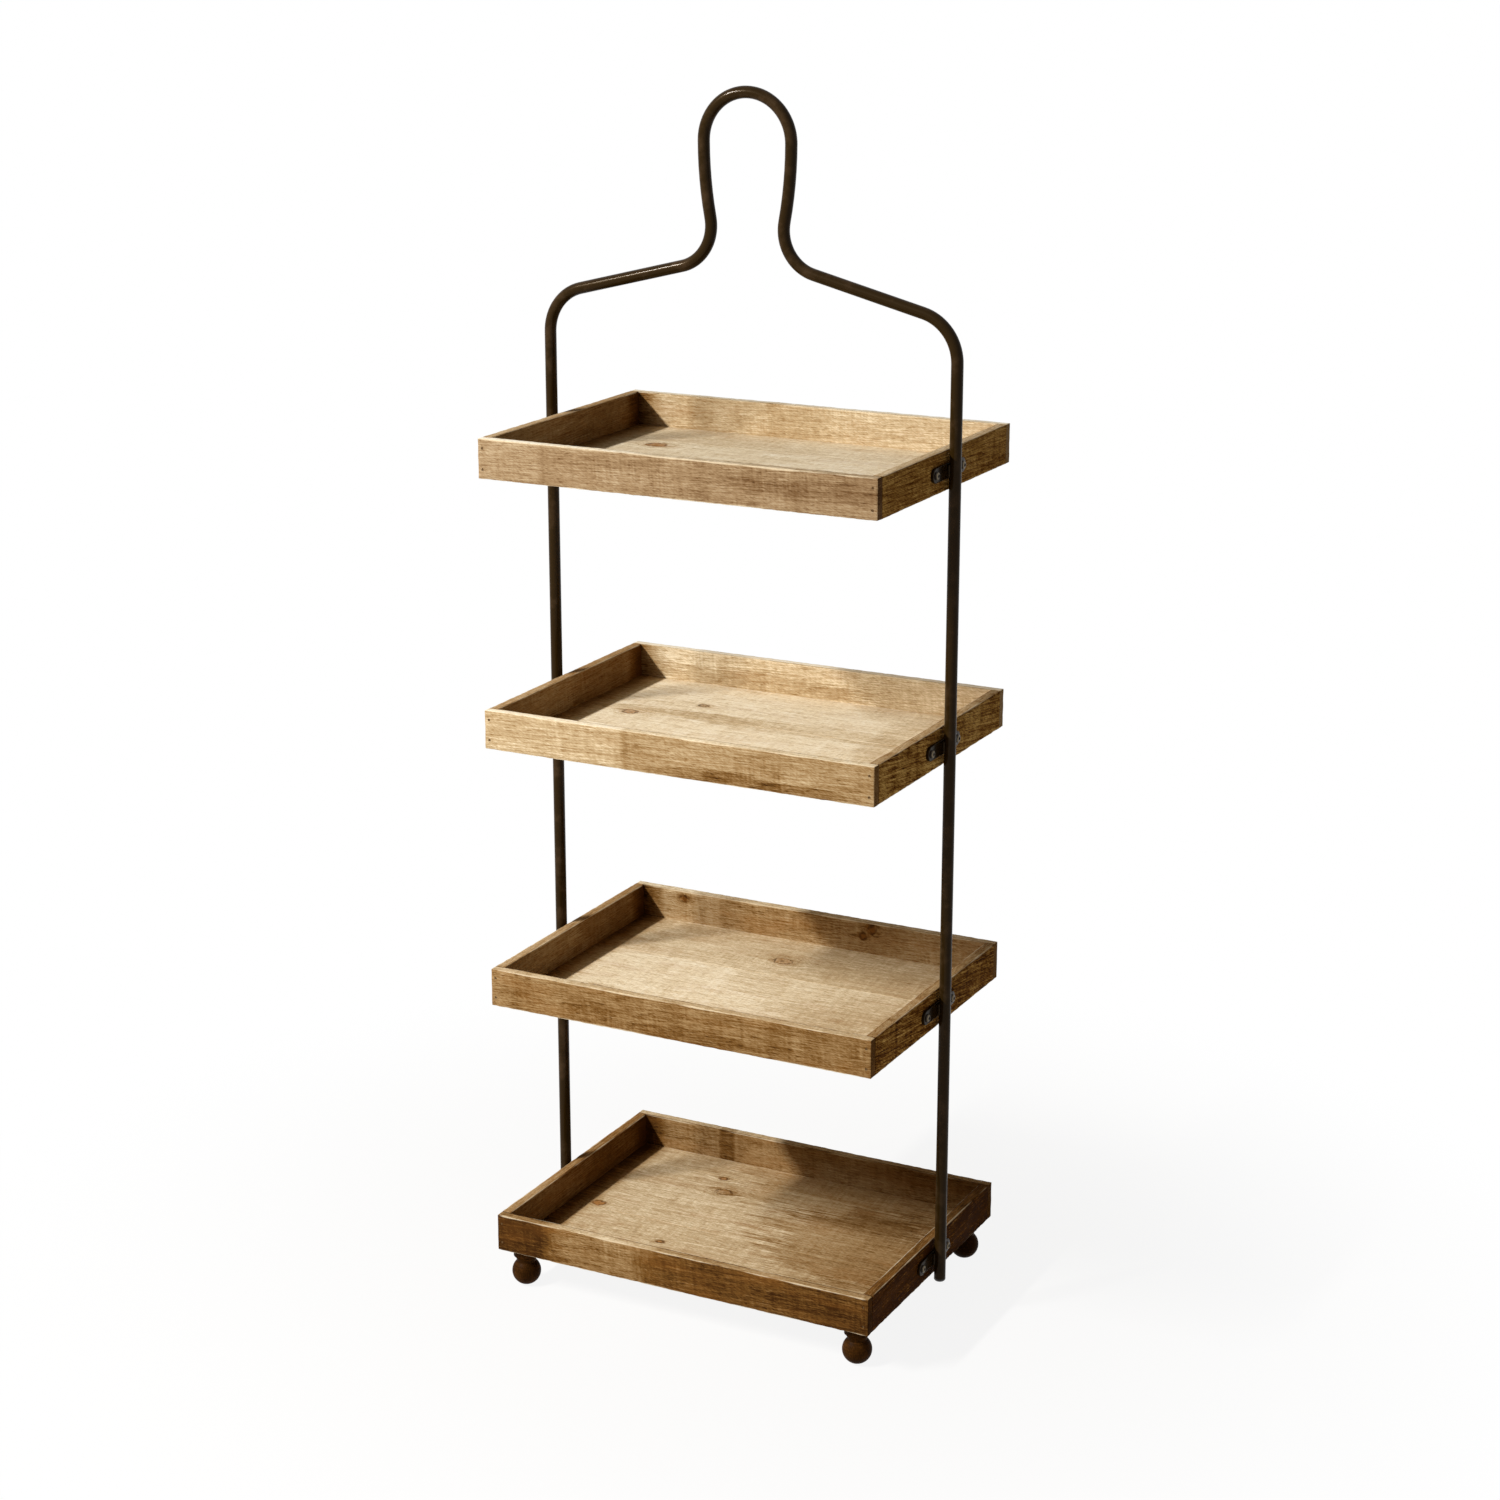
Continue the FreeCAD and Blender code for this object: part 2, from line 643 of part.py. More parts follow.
make_frame_tube("frame_tube")
for side_name, side_sign in SIDES.items():
    make_plug(f"{side_name}_leg_plug", side_sign)
for level_number, tray in enumerate(TRAYS):
    make_floor(f"{tray}_tray_floor", level_number)
    for end_name, end_sign in ENDS.items():
        make_end_rail(f"{tray}_tray_{end_name}_rail", level_number, end_sign)
    for side_name, side_sign in SIDES.items():
        make_side_rail(f"{tray}_tray_{side_name}_rail", level_number, side_sign)
        make_strap(f"{tray}_tray_{side_name}_strap", level_number, side_sign)
        make_strap_screws(f"{tray}_tray_{side_name}_strap_screws", level_number, side_sign)
    make_corner_brads(f"{tray}_tray_corner_brads", level_number)
    make_floor_brads(f"{tray}_tray_floor_brads", level_number)
for foot_name, (foot_x, foot_y) in foot_places().items():
    make_foot(f"{foot_name}_foot", foot_x, foot_y)
make_foot_bolts("foot_bolts")
doc.recompute()

for item in doc.Objects:
    if "Invalid" in item.State or "Error" in item.State:
        raise RuntimeError(f"{item.Name} did not build: {item.State}")
os.makedirs("parts", exist_ok=True)
for sub_part in sub_parts:
    shape = sub_part.Shape
    if shape.isNull() or not shape.isValid():
        raise RuntimeError(f"{sub_part.Label} has no valid shape")
    shape.exportStep(f"parts/{sub_part.Label}.step")
    print(f"{sub_part.Label}: {len(shape.Solids)} solids, {shape.Volume:.1f} mm3")
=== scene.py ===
import math
from contextlib import contextmanager
from functools import partial

import bpy
from bpy.props import FloatProperty, FloatVectorProperty, IntProperty, PointerProperty
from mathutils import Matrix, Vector


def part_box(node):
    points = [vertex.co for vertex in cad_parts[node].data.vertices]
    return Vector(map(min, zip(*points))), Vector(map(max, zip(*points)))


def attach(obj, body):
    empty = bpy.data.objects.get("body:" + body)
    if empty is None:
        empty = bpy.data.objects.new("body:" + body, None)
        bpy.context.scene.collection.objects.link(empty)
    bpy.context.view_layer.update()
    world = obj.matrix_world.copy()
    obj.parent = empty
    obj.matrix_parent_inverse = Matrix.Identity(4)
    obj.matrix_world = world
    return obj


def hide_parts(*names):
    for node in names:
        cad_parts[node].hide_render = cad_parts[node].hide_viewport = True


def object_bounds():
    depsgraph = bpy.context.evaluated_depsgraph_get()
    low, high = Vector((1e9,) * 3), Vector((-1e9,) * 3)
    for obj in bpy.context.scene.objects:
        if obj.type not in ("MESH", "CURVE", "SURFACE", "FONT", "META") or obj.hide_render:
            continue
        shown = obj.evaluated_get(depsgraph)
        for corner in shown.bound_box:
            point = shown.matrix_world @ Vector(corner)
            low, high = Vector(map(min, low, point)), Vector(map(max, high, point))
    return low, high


bl_info = {
    "name": "Tray Shelf",
    "version": (1, 0, 0),
    "blender": (4, 5, 0),
    "location": "View3D > Sidebar > Tray Shelf",
    "description": "Dresses a display shelf of four sawn wooden trays on a bent steel tube",
    "category": "Object",
}

# The shelf as it was built and packed. Every size here is in metres, +Z is up and the front faces -Y.
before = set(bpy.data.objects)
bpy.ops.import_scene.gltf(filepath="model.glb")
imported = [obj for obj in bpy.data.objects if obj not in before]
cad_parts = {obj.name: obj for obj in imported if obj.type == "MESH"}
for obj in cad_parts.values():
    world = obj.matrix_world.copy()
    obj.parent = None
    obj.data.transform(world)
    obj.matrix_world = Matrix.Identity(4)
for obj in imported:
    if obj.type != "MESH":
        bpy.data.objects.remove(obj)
CAD_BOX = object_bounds()

MM = 0.001
TINY = 0.01 * MM
TRAYS = ("bottom", "lower", "upper", "top")
ENDS = {"front": -1, "back": 1}
SIDES = {"left": -1, "right": 1}
STRAP_THICKNESS = 3.5 * MM
BRAD_HEAD = 1.4 * MM

# The axes that run along the grain, across the wide face and through the thickness of each kind of board.
END_RAIL_AXES = (0, 2, 1)
SIDE_RAIL_AXES = (1, 2, 0)
FLOOR_AXES = (0, 1, 2)

# Marks that set one board apart from another, in millimetres from the middle of its wide face.
# tone: how pale the stain is, from 0 to 1.
# warmth: how much more russet than usual shows through the stain.
# heartwood: how golden the sawn faces are, from 0 to 1.
# faded: how much of its colour the stain has lost, from 0 to 1.
# contrast: how strongly the grain of the sawn faces shows, where 1 is usual.
# slant: how far the grain runs off the length of the board, in radians.
# knots: along, across, radius and redness.
# bands: start, end and change of tone of a stripe across the board: darker or paler where the saw left it,
# and paler where light is painted on, as noted at their boards.
# stains: along, across, half length, half width and change of tone; some are painted light and shade
# instead.
# seams: across, and change of tone beyond the glue line.
BOARD_LOOKS = {
    "top_tray_floor": {
        "tone": 0.95,
        "knots": [(-153, 61, 9, 0.6)],
        "seams": [(-62, 0.03), (88, -0.05)],
        "stains_and_painted_light": [(60, -20, 190, 120, 0.04), (-150, 20, 110, 90, -0.06)],
    },
    "top_tray_front_rail": {
        "tone": 0.48,
        "warmth": -0.2,
        "faded": 0.11,
        "contrast": 0.85,
        "bands": [
            (-170, -162, -0.05), (-36, -14, -0.04), (26, 48, -0.04), (148, 166, -0.05),
            (90, 260, -0.03),
        ],
        # The marks along the upper edge, 26 mm across, are painted light at the left end and painted shade
        # at the right end.
        "stains_and_painted_light": [
            (185, 2, 60, 6, -0.1), (-225, 4, 30, 30, 0.06), (190, -12, 50, 6, 0.04),
            (-200, 26, 110, 2.5, 0.2), (230, 26, 120, 2.5, -0.18),
        ],
    },
    "top_tray_back_rail": {
        "tone": 0.74,
        "bands": [(-170, -134, -0.06), (-60, 12, -0.05)],
        "stains_and_painted_light": [(170, 0, 90, 40, 0.06)],
    },
    # The mark at the back end of each left rail is painted shade, darkening toward the back-left corner.
    "top_tray_left_rail": {"tone": 0.64, "warmth": 0.12, "stains_and_painted_light": [(150, 0, 90, 60, -0.16)]},
    "top_tray_right_rail": {
        "tone": 0.66,
        "heartwood": 0.95,
        "contrast": 2.5,
        "slant": -0.06,
        "bands": [(98, 104, -0.14), (118, 123, -0.12), (132, 137, -0.16), (150, 153, -0.12)],
    },
    "upper_tray_floor": {
        "tone": 0.93,
        "knots": [(-168, 16, 7, 0.4), (-101, 79, 4.5, 0.1)],
        "seams": [(27, 0.0), (-80, 0.02)],
        "stains_and_painted_light": [
            (200, 0, 30, 120, -0.1), (-40, 20, 150, 90, 0.07), (60, 36, 130, 12, -0.12),
            (-120, 36, 60, 10, -0.1),
        ],
    },
    "upper_tray_front_rail": {
        "tone": 0.56,
        "warmth": -0.1,
        "bands": [(-250, -70, 0.14), (-66, -58, -0.06), (118, 136, -0.05)],
        "stains_and_painted_light": [
            (80, -14, 24, 4.5, -0.22), (160, -17, 36, 3, -0.22), (20, -16, 24, 3, -0.12),
            (10, 0, 20, 20, 0.03),
        ],
    },
    "upper_tray_back_rail": {
        "tone": 0.82,
        # The paler band over the left end, to -128 mm, is painted light.
        "bands": [(-250, -128, 0.09), (-60, -20, 0.03), (96, 140, -0.04)],
        "stains_and_painted_light": [(-90, -12, 90, 10, -0.14)],
    },
    # The mark at the back end is painted shade, darkening toward the back-left corner.
    "upper_tray_left_rail": {"tone": 0.58, "warmth": 0.15, "stains_and_painted_light": [(150, 0, 90, 60, -0.16)]},
    "upper_tray_right_rail": {
        "tone": 0.68,
        "heartwood": 0.95,
        "contrast": 3.0,
        "slant": -0.17,
        "bands": [(-140, -120, -0.08), (-70, -64, -0.12), (60, 68, -0.12), (112, 120, -0.14)],
        "stains_and_painted_light": [(0, 26, 400, 2.5, -0.2)],
    },
    "lower_tray_floor": {
        "tone": 0.88,
        "knots": [(-1, 97, 9, 0.3), (-162, -88, 9, 0.3)],
        "seams": [(48, -0.09)],
        "stains_and_painted_light": [(-60, 0, 130, 60, 0.1), (150, 30, 90, 60, -0.08), (180, -90, 60, 60, -0.08)],
    },
    "lower_tray_front_rail": {
        "tone": 0.38,
        "bands": [(-222, -196, -0.06), (-20, 10, -0.04), (120, 150, -0.05)],
        "stains_and_painted_light": [(-205, 0, 40, 30, 0.06), (-115, -8, 20, 8, -0.05), (20, -14, 50, 5, -0.09)],
    },
    "lower_tray_back_rail": {
        "tone": 0.52,
        "knots": [(-179, 13.8, 4.2, 0.3), (86, 14.8, 4.4, 0.4), (74, 4.8, 3.8, 0.4)],
        # The paler band over the left end, to -128 mm, is painted light.
        "bands": [(-250, -128, 0.1)],
        "stains_and_painted_light": [
            (66, 8, 36, 16, -0.1), (-100, 10, 80, 16, -0.05), (-178, 14, 1.6, 2.2, -0.6),
            (87, 15, 2, 3.6, -0.6), (74, 5, 2.2, 3, -0.6),
        ],
    },
    # The mark at the back end is painted shade, darkening toward the back-left corner.
    "lower_tray_left_rail": {"tone": 0.56, "warmth": 0.15, "stains_and_painted_light": [(150, 0, 90, 60, -0.16)]},
    "lower_tray_right_rail": {
        "tone": 0.46,
        "heartwood": 0.95,
        "contrast": 3.0,
        "slant": -0.17,
        "bands": [(-118, -110, -0.12), (-40, -20, -0.08), (84, 92, -0.12), (130, 150, -0.1)],
        "stains_and_painted_light": [(0, 26, 400, 2.5, -0.06)],
    },
    "bottom_tray_floor": {
        "tone": 0.68,
        "knots": [(-75, 81, 7.5, 0.15), (-94, 116, 4, 0.7), (-200, -20, 6, 0.8), (-78, -83, 3.6, 0.7)],
        "seams": [(122, -0.06), (-32, 0.03)],
        # The dark marks at the right and back right are painted shadow, and the pale one left of the middle
        # is painted light.
        "stains_and_painted_light": [(-90, 0, 130, 110, 0.1), (165, 10, 80, 60, -0.26), (140, 130, 120, 40, -0.16)],
    },
    "bottom_tray_front_rail": {
        "tone": 0.17,
        "bands": [(20, 60, -0.03), (112, 126, 0.03)],
        # The pale mark left of the middle is painted light.
        "stains_and_painted_light": [(-112, 0, 40, 60, 0.25), (-240, 0, 40, 60, -0.16), (200, -8, 50, 12, -0.05)],
    },
    "bottom_tray_back_rail": {
        "tone": 0.33,
        # The paler band over the left end, to -129 mm, is painted light.
        "bands": [(-129, -107, -0.12), (-107, -102, 0.08), (-250, -129, 0.06)],
        "stains_and_painted_light": [(-200, 0, 70, 30, 0.05), (20, 4, 50, 40, 0.12)],
    },
    # The mark at the back end is painted shade, darkening toward the back-left corner.
    "bottom_tray_left_rail": {"tone": 0.42, "warmth": 0.15, "stains_and_painted_light": [(150, 0, 90, 60, -0.14)]},
    "bottom_tray_right_rail": {
        # Its tone below zero is partly stain and partly painted shade on the shaded right side of the bottom
        # tray.
        "tone": -0.1,
        "heartwood": 0.8,
        "contrast": 2.8,
        "bands": [(-150, -130, -0.06), (-60, -50, -0.06), (90, 110, -0.06)],
        "stains_and_painted_light": [(0, 26, 400, 2.5, 0.22)],
    },
}

# Layers of figure in the wood: millimetres along, across and through, slant, detail, roughness, and how
# much the layer changes the tone. Real fibres are finer than the picture can show, so they are drawn more
# than 1 mm wide.
WOOD_LAYERS = {
    "fibre": ((34, 1.5, 1.5), 0.03, 3, 0.7, 0.88),
    "fuzz": ((6, 1.3, 1.3), -0.4, 2, 0.7, 0.5),
    "figure": ((150, 7, 7), 0.03, 2, 0.5, 0.2),
    "saw_band": ((7, 90, 60), 0.06, 2, 0.5, 0.16),
    "blotch": ((110, 45, 45), 0.0, 3, 0.6, 0.12),
    "saw_line": ((3.0, 34, 34), 0.08, 1, 0.5, 0.0),
    "patch": ((60, 26, 26), 0.0, 2, 0.5, 0.0),
    "fleck": ((9, 1.4, 1.4), 0.06, 1, 0.5, 0.0),
    "russet": ((90, 22, 22), 0.0, 3, 0.6, 0.0),
}

# The setting that the second word of a kind of node gives, as in "Math ADD". A MapRange goes from 0 to 1
# unless its fourth and fifth inputs say otherwise.
MODES = {
    "Math": "operation",
    "VectorMath": "operation",
    "MapRange": "interpolation_type",
    "Mapping": "vector_type",
    "Mix": "data_type",
}


def linear(code):
    """Turns an sRGB hex colour to linear red, green and blue."""
    shares = [int(code[place : place + 2], 16) / 255 for place in (1, 3, 5)]
    return [share / 12.92 if share <= 0.04045 else ((share + 0.055) / 1.055) ** 2.4 for share in shares]


def number_setting(name, description, default, **kind):
    return FloatProperty(name=name, description=description, default=default, **kind)


def length_setting(name, description, default):
    return number_setting(name, description, default, unit="LENGTH", precision=5)


def angle_setting(name, description, degrees):
    return number_setting(name, description, math.radians(degrees), unit="ROTATION")


def place_setting(name, description, default):
    return FloatVectorProperty(name=name, description=description, default=default, subtype="TRANSLATION")


def colour_setting(name, description, code):
    settings = {"default": linear(code), "subtype": "COLOR", "min": 0, "max": 1}
    return FloatVectorProperty(name=name, description=description, **settings)


class WoodSettings(bpy.types.PropertyGroup):
    """Stain and saw marks of the boards"""

    deep: colour_setting("Deep stain", "Stain where it lies thickest", "#38200A")
    dark: colour_setting("Dark stain", "Stain in the open grain", "#6C4A21")
    middle: colour_setting("Middle stain", "Stain over most of the board", "#967850")
    pale: colour_setting("Pale stain", "Stain where it is rubbed back", "#BAA27D")
    bare: colour_setting("Bare wood", "Wood on the worn arrises", "#E4D3B3")
    clean: colour_setting("Clean wood", "Wood where no stain is left", "#F0E5CE")
    russet: colour_setting("Russet wood", "Resin and knots", "#98622A")
    golden: colour_setting("Golden wood", "Tint of the stained heartwood", "#FFE39C")
    foot: colour_setting("Foot stain", "Dark stain on the turned feet", "#361F08")
    arris: length_setting("Arris", "Radius of the rounded arrises", 0.9 * MM)
    wear: length_setting("Wear", "Width of the worn strip along an arris", 1.3 * MM)
    unevenness: length_setting("Unevenness", "Rise and fall of a sawn face", 0.35 * MM)
    saw_depth: length_setting("Saw depth", "Depth of the saw marks", 0.14 * MM)
    nick_depth: length_setting("Nick depth", "Depth of the nicks in the arrises", 0.8 * MM)
    cell: length_setting("Cell", "Length of a mesh cell along the grain", 1.6 * MM)


class SteelSettings(bpy.types.PropertyGroup):
    """Bends of the tube, and coats of the steel parts"""

    shoulder_bend: length_setting("Shoulder bend", "Centre-line radius of a shoulder", 55 * MM)
    shoulder_fall: number_setting("Shoulder fall", "Slope of the shoulders", 0.25)
    neck_half_width: length_setting("Neck half width", "Half the width between the neck bends", 46 * MM)
    neck_bend: length_setting("Neck bend", "Centre-line radius of a neck bend", 49 * MM)
    handle_rise: length_setting("Handle rise", "Height of the loop's middle over the neck", 95 * MM)
    handle_half_width: length_setting("Handle half width", "Centre-line radius of the loop", 55 * MM)
    tube_wall: length_setting("Tube wall", "Wall thickness of the tube", 1.5 * MM)
    tube_sides: IntProperty(name="Tube sides", description="Mesh sides of the tube", default=28, min=8)
    coat: colour_setting("Coat", "Powder coat of the tube and straps", "#271A07")
    rubbed: colour_setting("Rubbed coat", "Coat where hands and trays have rubbed it", "#4A3826")
    screw: colour_setting("Screw", "Blackened steel of the screws", "#2B241F")
    bright: colour_setting("Bright steel", "Steel where the black has worn off", "#74674F")
    stained: colour_setting("Stained steel", "Brads stained over with the boards", "#6A4E2C")
    plug: colour_setting("Plug", "Moulded nylon of the leg plugs", "#15110E")


class StageSettings(bpy.types.PropertyGroup):
    """Camera, lamps and floor"""

    camera_place: place_setting("Camera place", "Where the camera stands", (1.5904, -3.0807, 1.7015))
    camera_pitch: angle_setting("Camera pitch", "How far it looks down", 16.511)
    camera_yaw: angle_setting("Camera yaw", "How far it turns left", 27.254)
    lens: number_setting("Lens", "Focal length in millimetres", 73.4)
    key_place: place_setting("Key", "Where the key strip is", (-2.0, -2.4, 2.7))
    key_power: number_setting("Key power", "Power of the key strip in watts", 265)
    key_length: length_setting("Key length", "Length of the key strip", 1.3)
    key_width: length_setting("Key width", "Width of the key strip", 0.14)
    fill_place: place_setting("Fill", "Where the fill lamp is", (-1.0, -3.4, 3.2))
    fill_power: number_setting("Fill power", "Power of the fill lamp in watts", 11)
    fill_size: length_setting("Fill size", "Width of the fill lamp", 2.4)
    room_level: number_setting("Room level", "Strength of the room's light", 0.11)
    room: colour_setting("Room", "Colour of the room's light", "#FFE2BC")
    floor: colour_setting("Floor", "Pale floor", "#D6D2CC")


def socket(sockets, key):
    """Finds a socket in use by its name, or by its number among those in use."""
    enabled = [item for item in sockets if item.enabled]
    return enabled[key] if isinstance(key, int) else next(item for item in enabled if item.name == key)


def feed(tree, target, source):
    """Links a node or a socket to a socket, or sets a plain value on it."""
    if isinstance(source, bpy.types.Node):
        source = socket(source.outputs, 0)
    if isinstance(source, bpy.types.NodeSocket):
        tree.links.new(source, target)
    else:
        target.default_value = (*source, 1) if target.type == "RGBA" else source


def add_node(tree, kind, inputs=(), stops=(), **settings):
    """Adds a node with its settings. Its inputs, listed or by name, are nodes, their sockets or values."""
    kind, _, mode = kind.partition(" ")
    node = tree.nodes.new(f"ShaderNode{kind}")
    if mode:
        setattr(node, MODES[kind], mode)
    for name, setting in settings.items():
        setattr(node, name, setting)
    for place, (share, colour) in enumerate(stops):
        elements = node.color_ramp.elements
        element = elements[place] if place < len(elements) else elements.new(share)
        element.position = share
        element.color = (*colour, 1)
    for key, source in inputs.items() if isinstance(inputs, dict) else enumerate(inputs):
        feed(tree, socket(node.inputs, key), source)
    return node


def new_material(name):
    """Starts a material, and gives it with the adder of its nodes and the place on the piece in metres."""
    material = bpy.data.materials.new(name)
    material.use_nodes = True
    add = partial(add_node, material.node_tree)
    return material, add, add("TexCoord").outputs["Object"]


def set_shader(material, **levels):
    """Feeds patterns to the shader, and sets what is the same all over on its own sockets."""
    tree = material.node_tree
    shader = tree.nodes["Principled BSDF"]
    for name, level in levels.items():
        feed(tree, shader.inputs[name.replace("_", " ")], level)
    return shader


def bend_round_knots(add, spot, knots):
    """Bends the grain round each knot, and gives where the wood is red, black and shaded."""
    grain = spot
    heart = black = shade = 0.0
    # Knots have uneven outlines, which swell and shrink over about 7 mm.
    uneven = add("TexNoise", [spot, 1 / 7, 2.0, 0.6]) if knots else None
    for u, v, radius, redness in knots:
        away = add("VectorMath SUBTRACT", [spot, (u, v, 0)])
        away = add("VectorMath MULTIPLY", [away, (0.7, 1, 0)])
        off = add("VectorMath LENGTH", [away])
        off = add("Math MULTIPLY_ADD", [uneven, 1.6 * radius, off])
        off = add("Math SUBTRACT", [off, 0.8 * radius])
        reach = add("Math DIVIDE", [off, radius])
        pull = add("MapRange SMOOTHSTEP", [reach, 0.6, 4.2, -0.8, 0.0])
        bend = add("VectorMath SCALE", [away, pull])
        bend = add("VectorMath MULTIPLY", [bend, (0, 1, 0)])
        grain = add("VectorMath ADD", [grain, bend])
        inside = add("MapRange SMOOTHSTEP", [reach, 0.8, 1.5, redness, 0.0])
        heart = add("Math MAXIMUM", [inside, heart])
        # A broken ring of bark, and a dark core
        off = add("Math SUBTRACT", [off, radius])
        off = add("Math ABSOLUTE", [off])
        ring = add("MapRange SMOOTHSTEP", [off, 0.4, 2.0, 0.75, 0.0])
        broken = add("MapRange", [uneven, 0.38, 0.56, 0.25, 1.0])
        ring = add("Math MULTIPLY", [ring, broken])
        core = add("MapRange SMOOTHSTEP", [reach, -0.1, 0.3, 0.5, 0.0])
        black = add("Math MAXIMUM", [ring, black])
        black = add("Math MAXIMUM", [core, black])
        around = add("MapRange SMOOTHSTEP", [reach, 0.8, 2.6, -0.14, 0.0])
        shade = add("Math MINIMUM", [around, shade])
    return grain, heart, black, shade


def marked_tone(add, tone, look, spot, along, ragged):
    """Adds a board's stripes, stain marks, and painted light and shade to its tone."""
    for start, end, change in look.get("bands", ()):
        off = add("Math SUBTRACT", [along, (start + end) / 2])
        off = add("Math ABSOLUTE", [off])
        half = (end - start) / 2
        band = add("MapRange SMOOTHSTEP", [off, half - 3, half + 3, change, 0.0])
        tone = add("Math ADD", [band, tone])
    # Some of these marks are painted light and painted shade, as noted at their boards.
    for u, v, half_length, half_width, change in look.get("stains_and_painted_light", ()):
        away = add("VectorMath SUBTRACT", [spot, (u, v, 0)])
        away = add("VectorMath MULTIPLY", [away, (1 / half_length, 1 / half_width, 0)])
        reach = add("VectorMath LENGTH", [away])
        reach = add("Math MULTIPLY_ADD", [ragged, 2.2, reach])
        stain = add("MapRange SMOOTHSTEP", [reach, 1.4, 2.2, change, 0.0])
        tone = add("Math ADD", [stain, tone])
    return tone


def edge_tone(add, tone, node, axes, parts, facing, middle, half):
    """Darkens or pales a board's tone at its ends, its upper edge and its inner edge, and paints shade in
    the back-left corner and along the floor's left edge.
    """
    # End grain drinks more stain.
    end_grain = add("Math ABSOLUTE", [facing[axes[0]]])
    end_grain = add("MapRange", [end_grain, 0.72, 0.9])
    tone = add("Math MULTIPLY_ADD", [end_grain, -0.16, tone])
    if axes is FLOOR_AXES:
        # Painted shade darkens the floor along its left edge, where the left rail's shadow falls.
        shaded_strip_width = 50
        left_rail_shade = [parts[0], -half[0], shaded_strip_width - half[0], -0.8, 0.0]
        return add("Math ADD", [add("MapRange SMOOTHSTEP", left_rail_shade), tone])
    # The upper face of a rail is paler: partly worn bare, and partly painted light on the face that looks up
    # to the lamps.
    rubbed = 0.37 if axes is END_RAIL_AXES else 0.12
    upper = add("MapRange", [facing[2], 0.6, 0.95, 0.0, rubbed])
    tone = add("Math ADD", [upper, tone])
    # A dark line runs along the inner edge of the upper face.
    inner = add("Math MULTIPLY", [parts[2], -1 if middle[2] > 0 else 1])
    inner_edge_line = add("MapRange SMOOTHSTEP", [inner, half[2] - 2.4, half[2] - 1.2])
    inner_edge_line = add("Math MULTIPLY", [inner_edge_line, upper])
    tone = add("Math MULTIPLY_ADD", [inner_edge_line, -1.6, tone])
    # Painted shade darkens the back-left corner: the left end of the back rail and the back end of the left
    # rail.
    shaded_corner_sign = {"back": -1, "left": 1}.get(node.split("_")[2])
    if shaded_corner_sign:
        corner = half[0] - (2 * half[2] if axes is END_RAIL_AXES else 0)
        shaded_corner_width = 34
        thick = add("Math MULTIPLY", [parts[0], shaded_corner_sign])
        thick = add("MapRange", [thick, corner - shaded_corner_width, corner, 0.0, -0.55])
        face = add("MapRange", [inner, half[2] - 1.0, half[2] - 0.5])
        tone = add("Math MULTIPLY_ADD", [thick, face, tone])
    return tone


def arris_wear(add, parts, half, ragged, width):
    """How bare the arrises are worn, which fades out at the ends of the board.

    The nearest arris is as far as the second smallest of the distances to the board's faces.
    """
    gaps = []
    for part, size in zip(parts, half):
        gap = add("Math ABSOLUTE", [part])
        gaps.append(add("Math SUBTRACT", [size, gap]))
    least = add("Math MINIMUM", gaps[:2])
    most = add("Math MAXIMUM", gaps[:2])
    most = add("Math MINIMUM", [most, gaps[2]])
    arris = add("Math MAXIMUM", [least, most])
    arris = add("Math MULTIPLY_ADD", [ragged, -5.0, arris])
    worn = add("MapRange SMOOTHSTEP", [arris, 0.2, 0.2 + width / MM, 0.6, 0.0])
    inward = add("MapRange", [gaps[0], 2.0, 8.0])
    return add("Math MULTIPLY", [worn, inward])


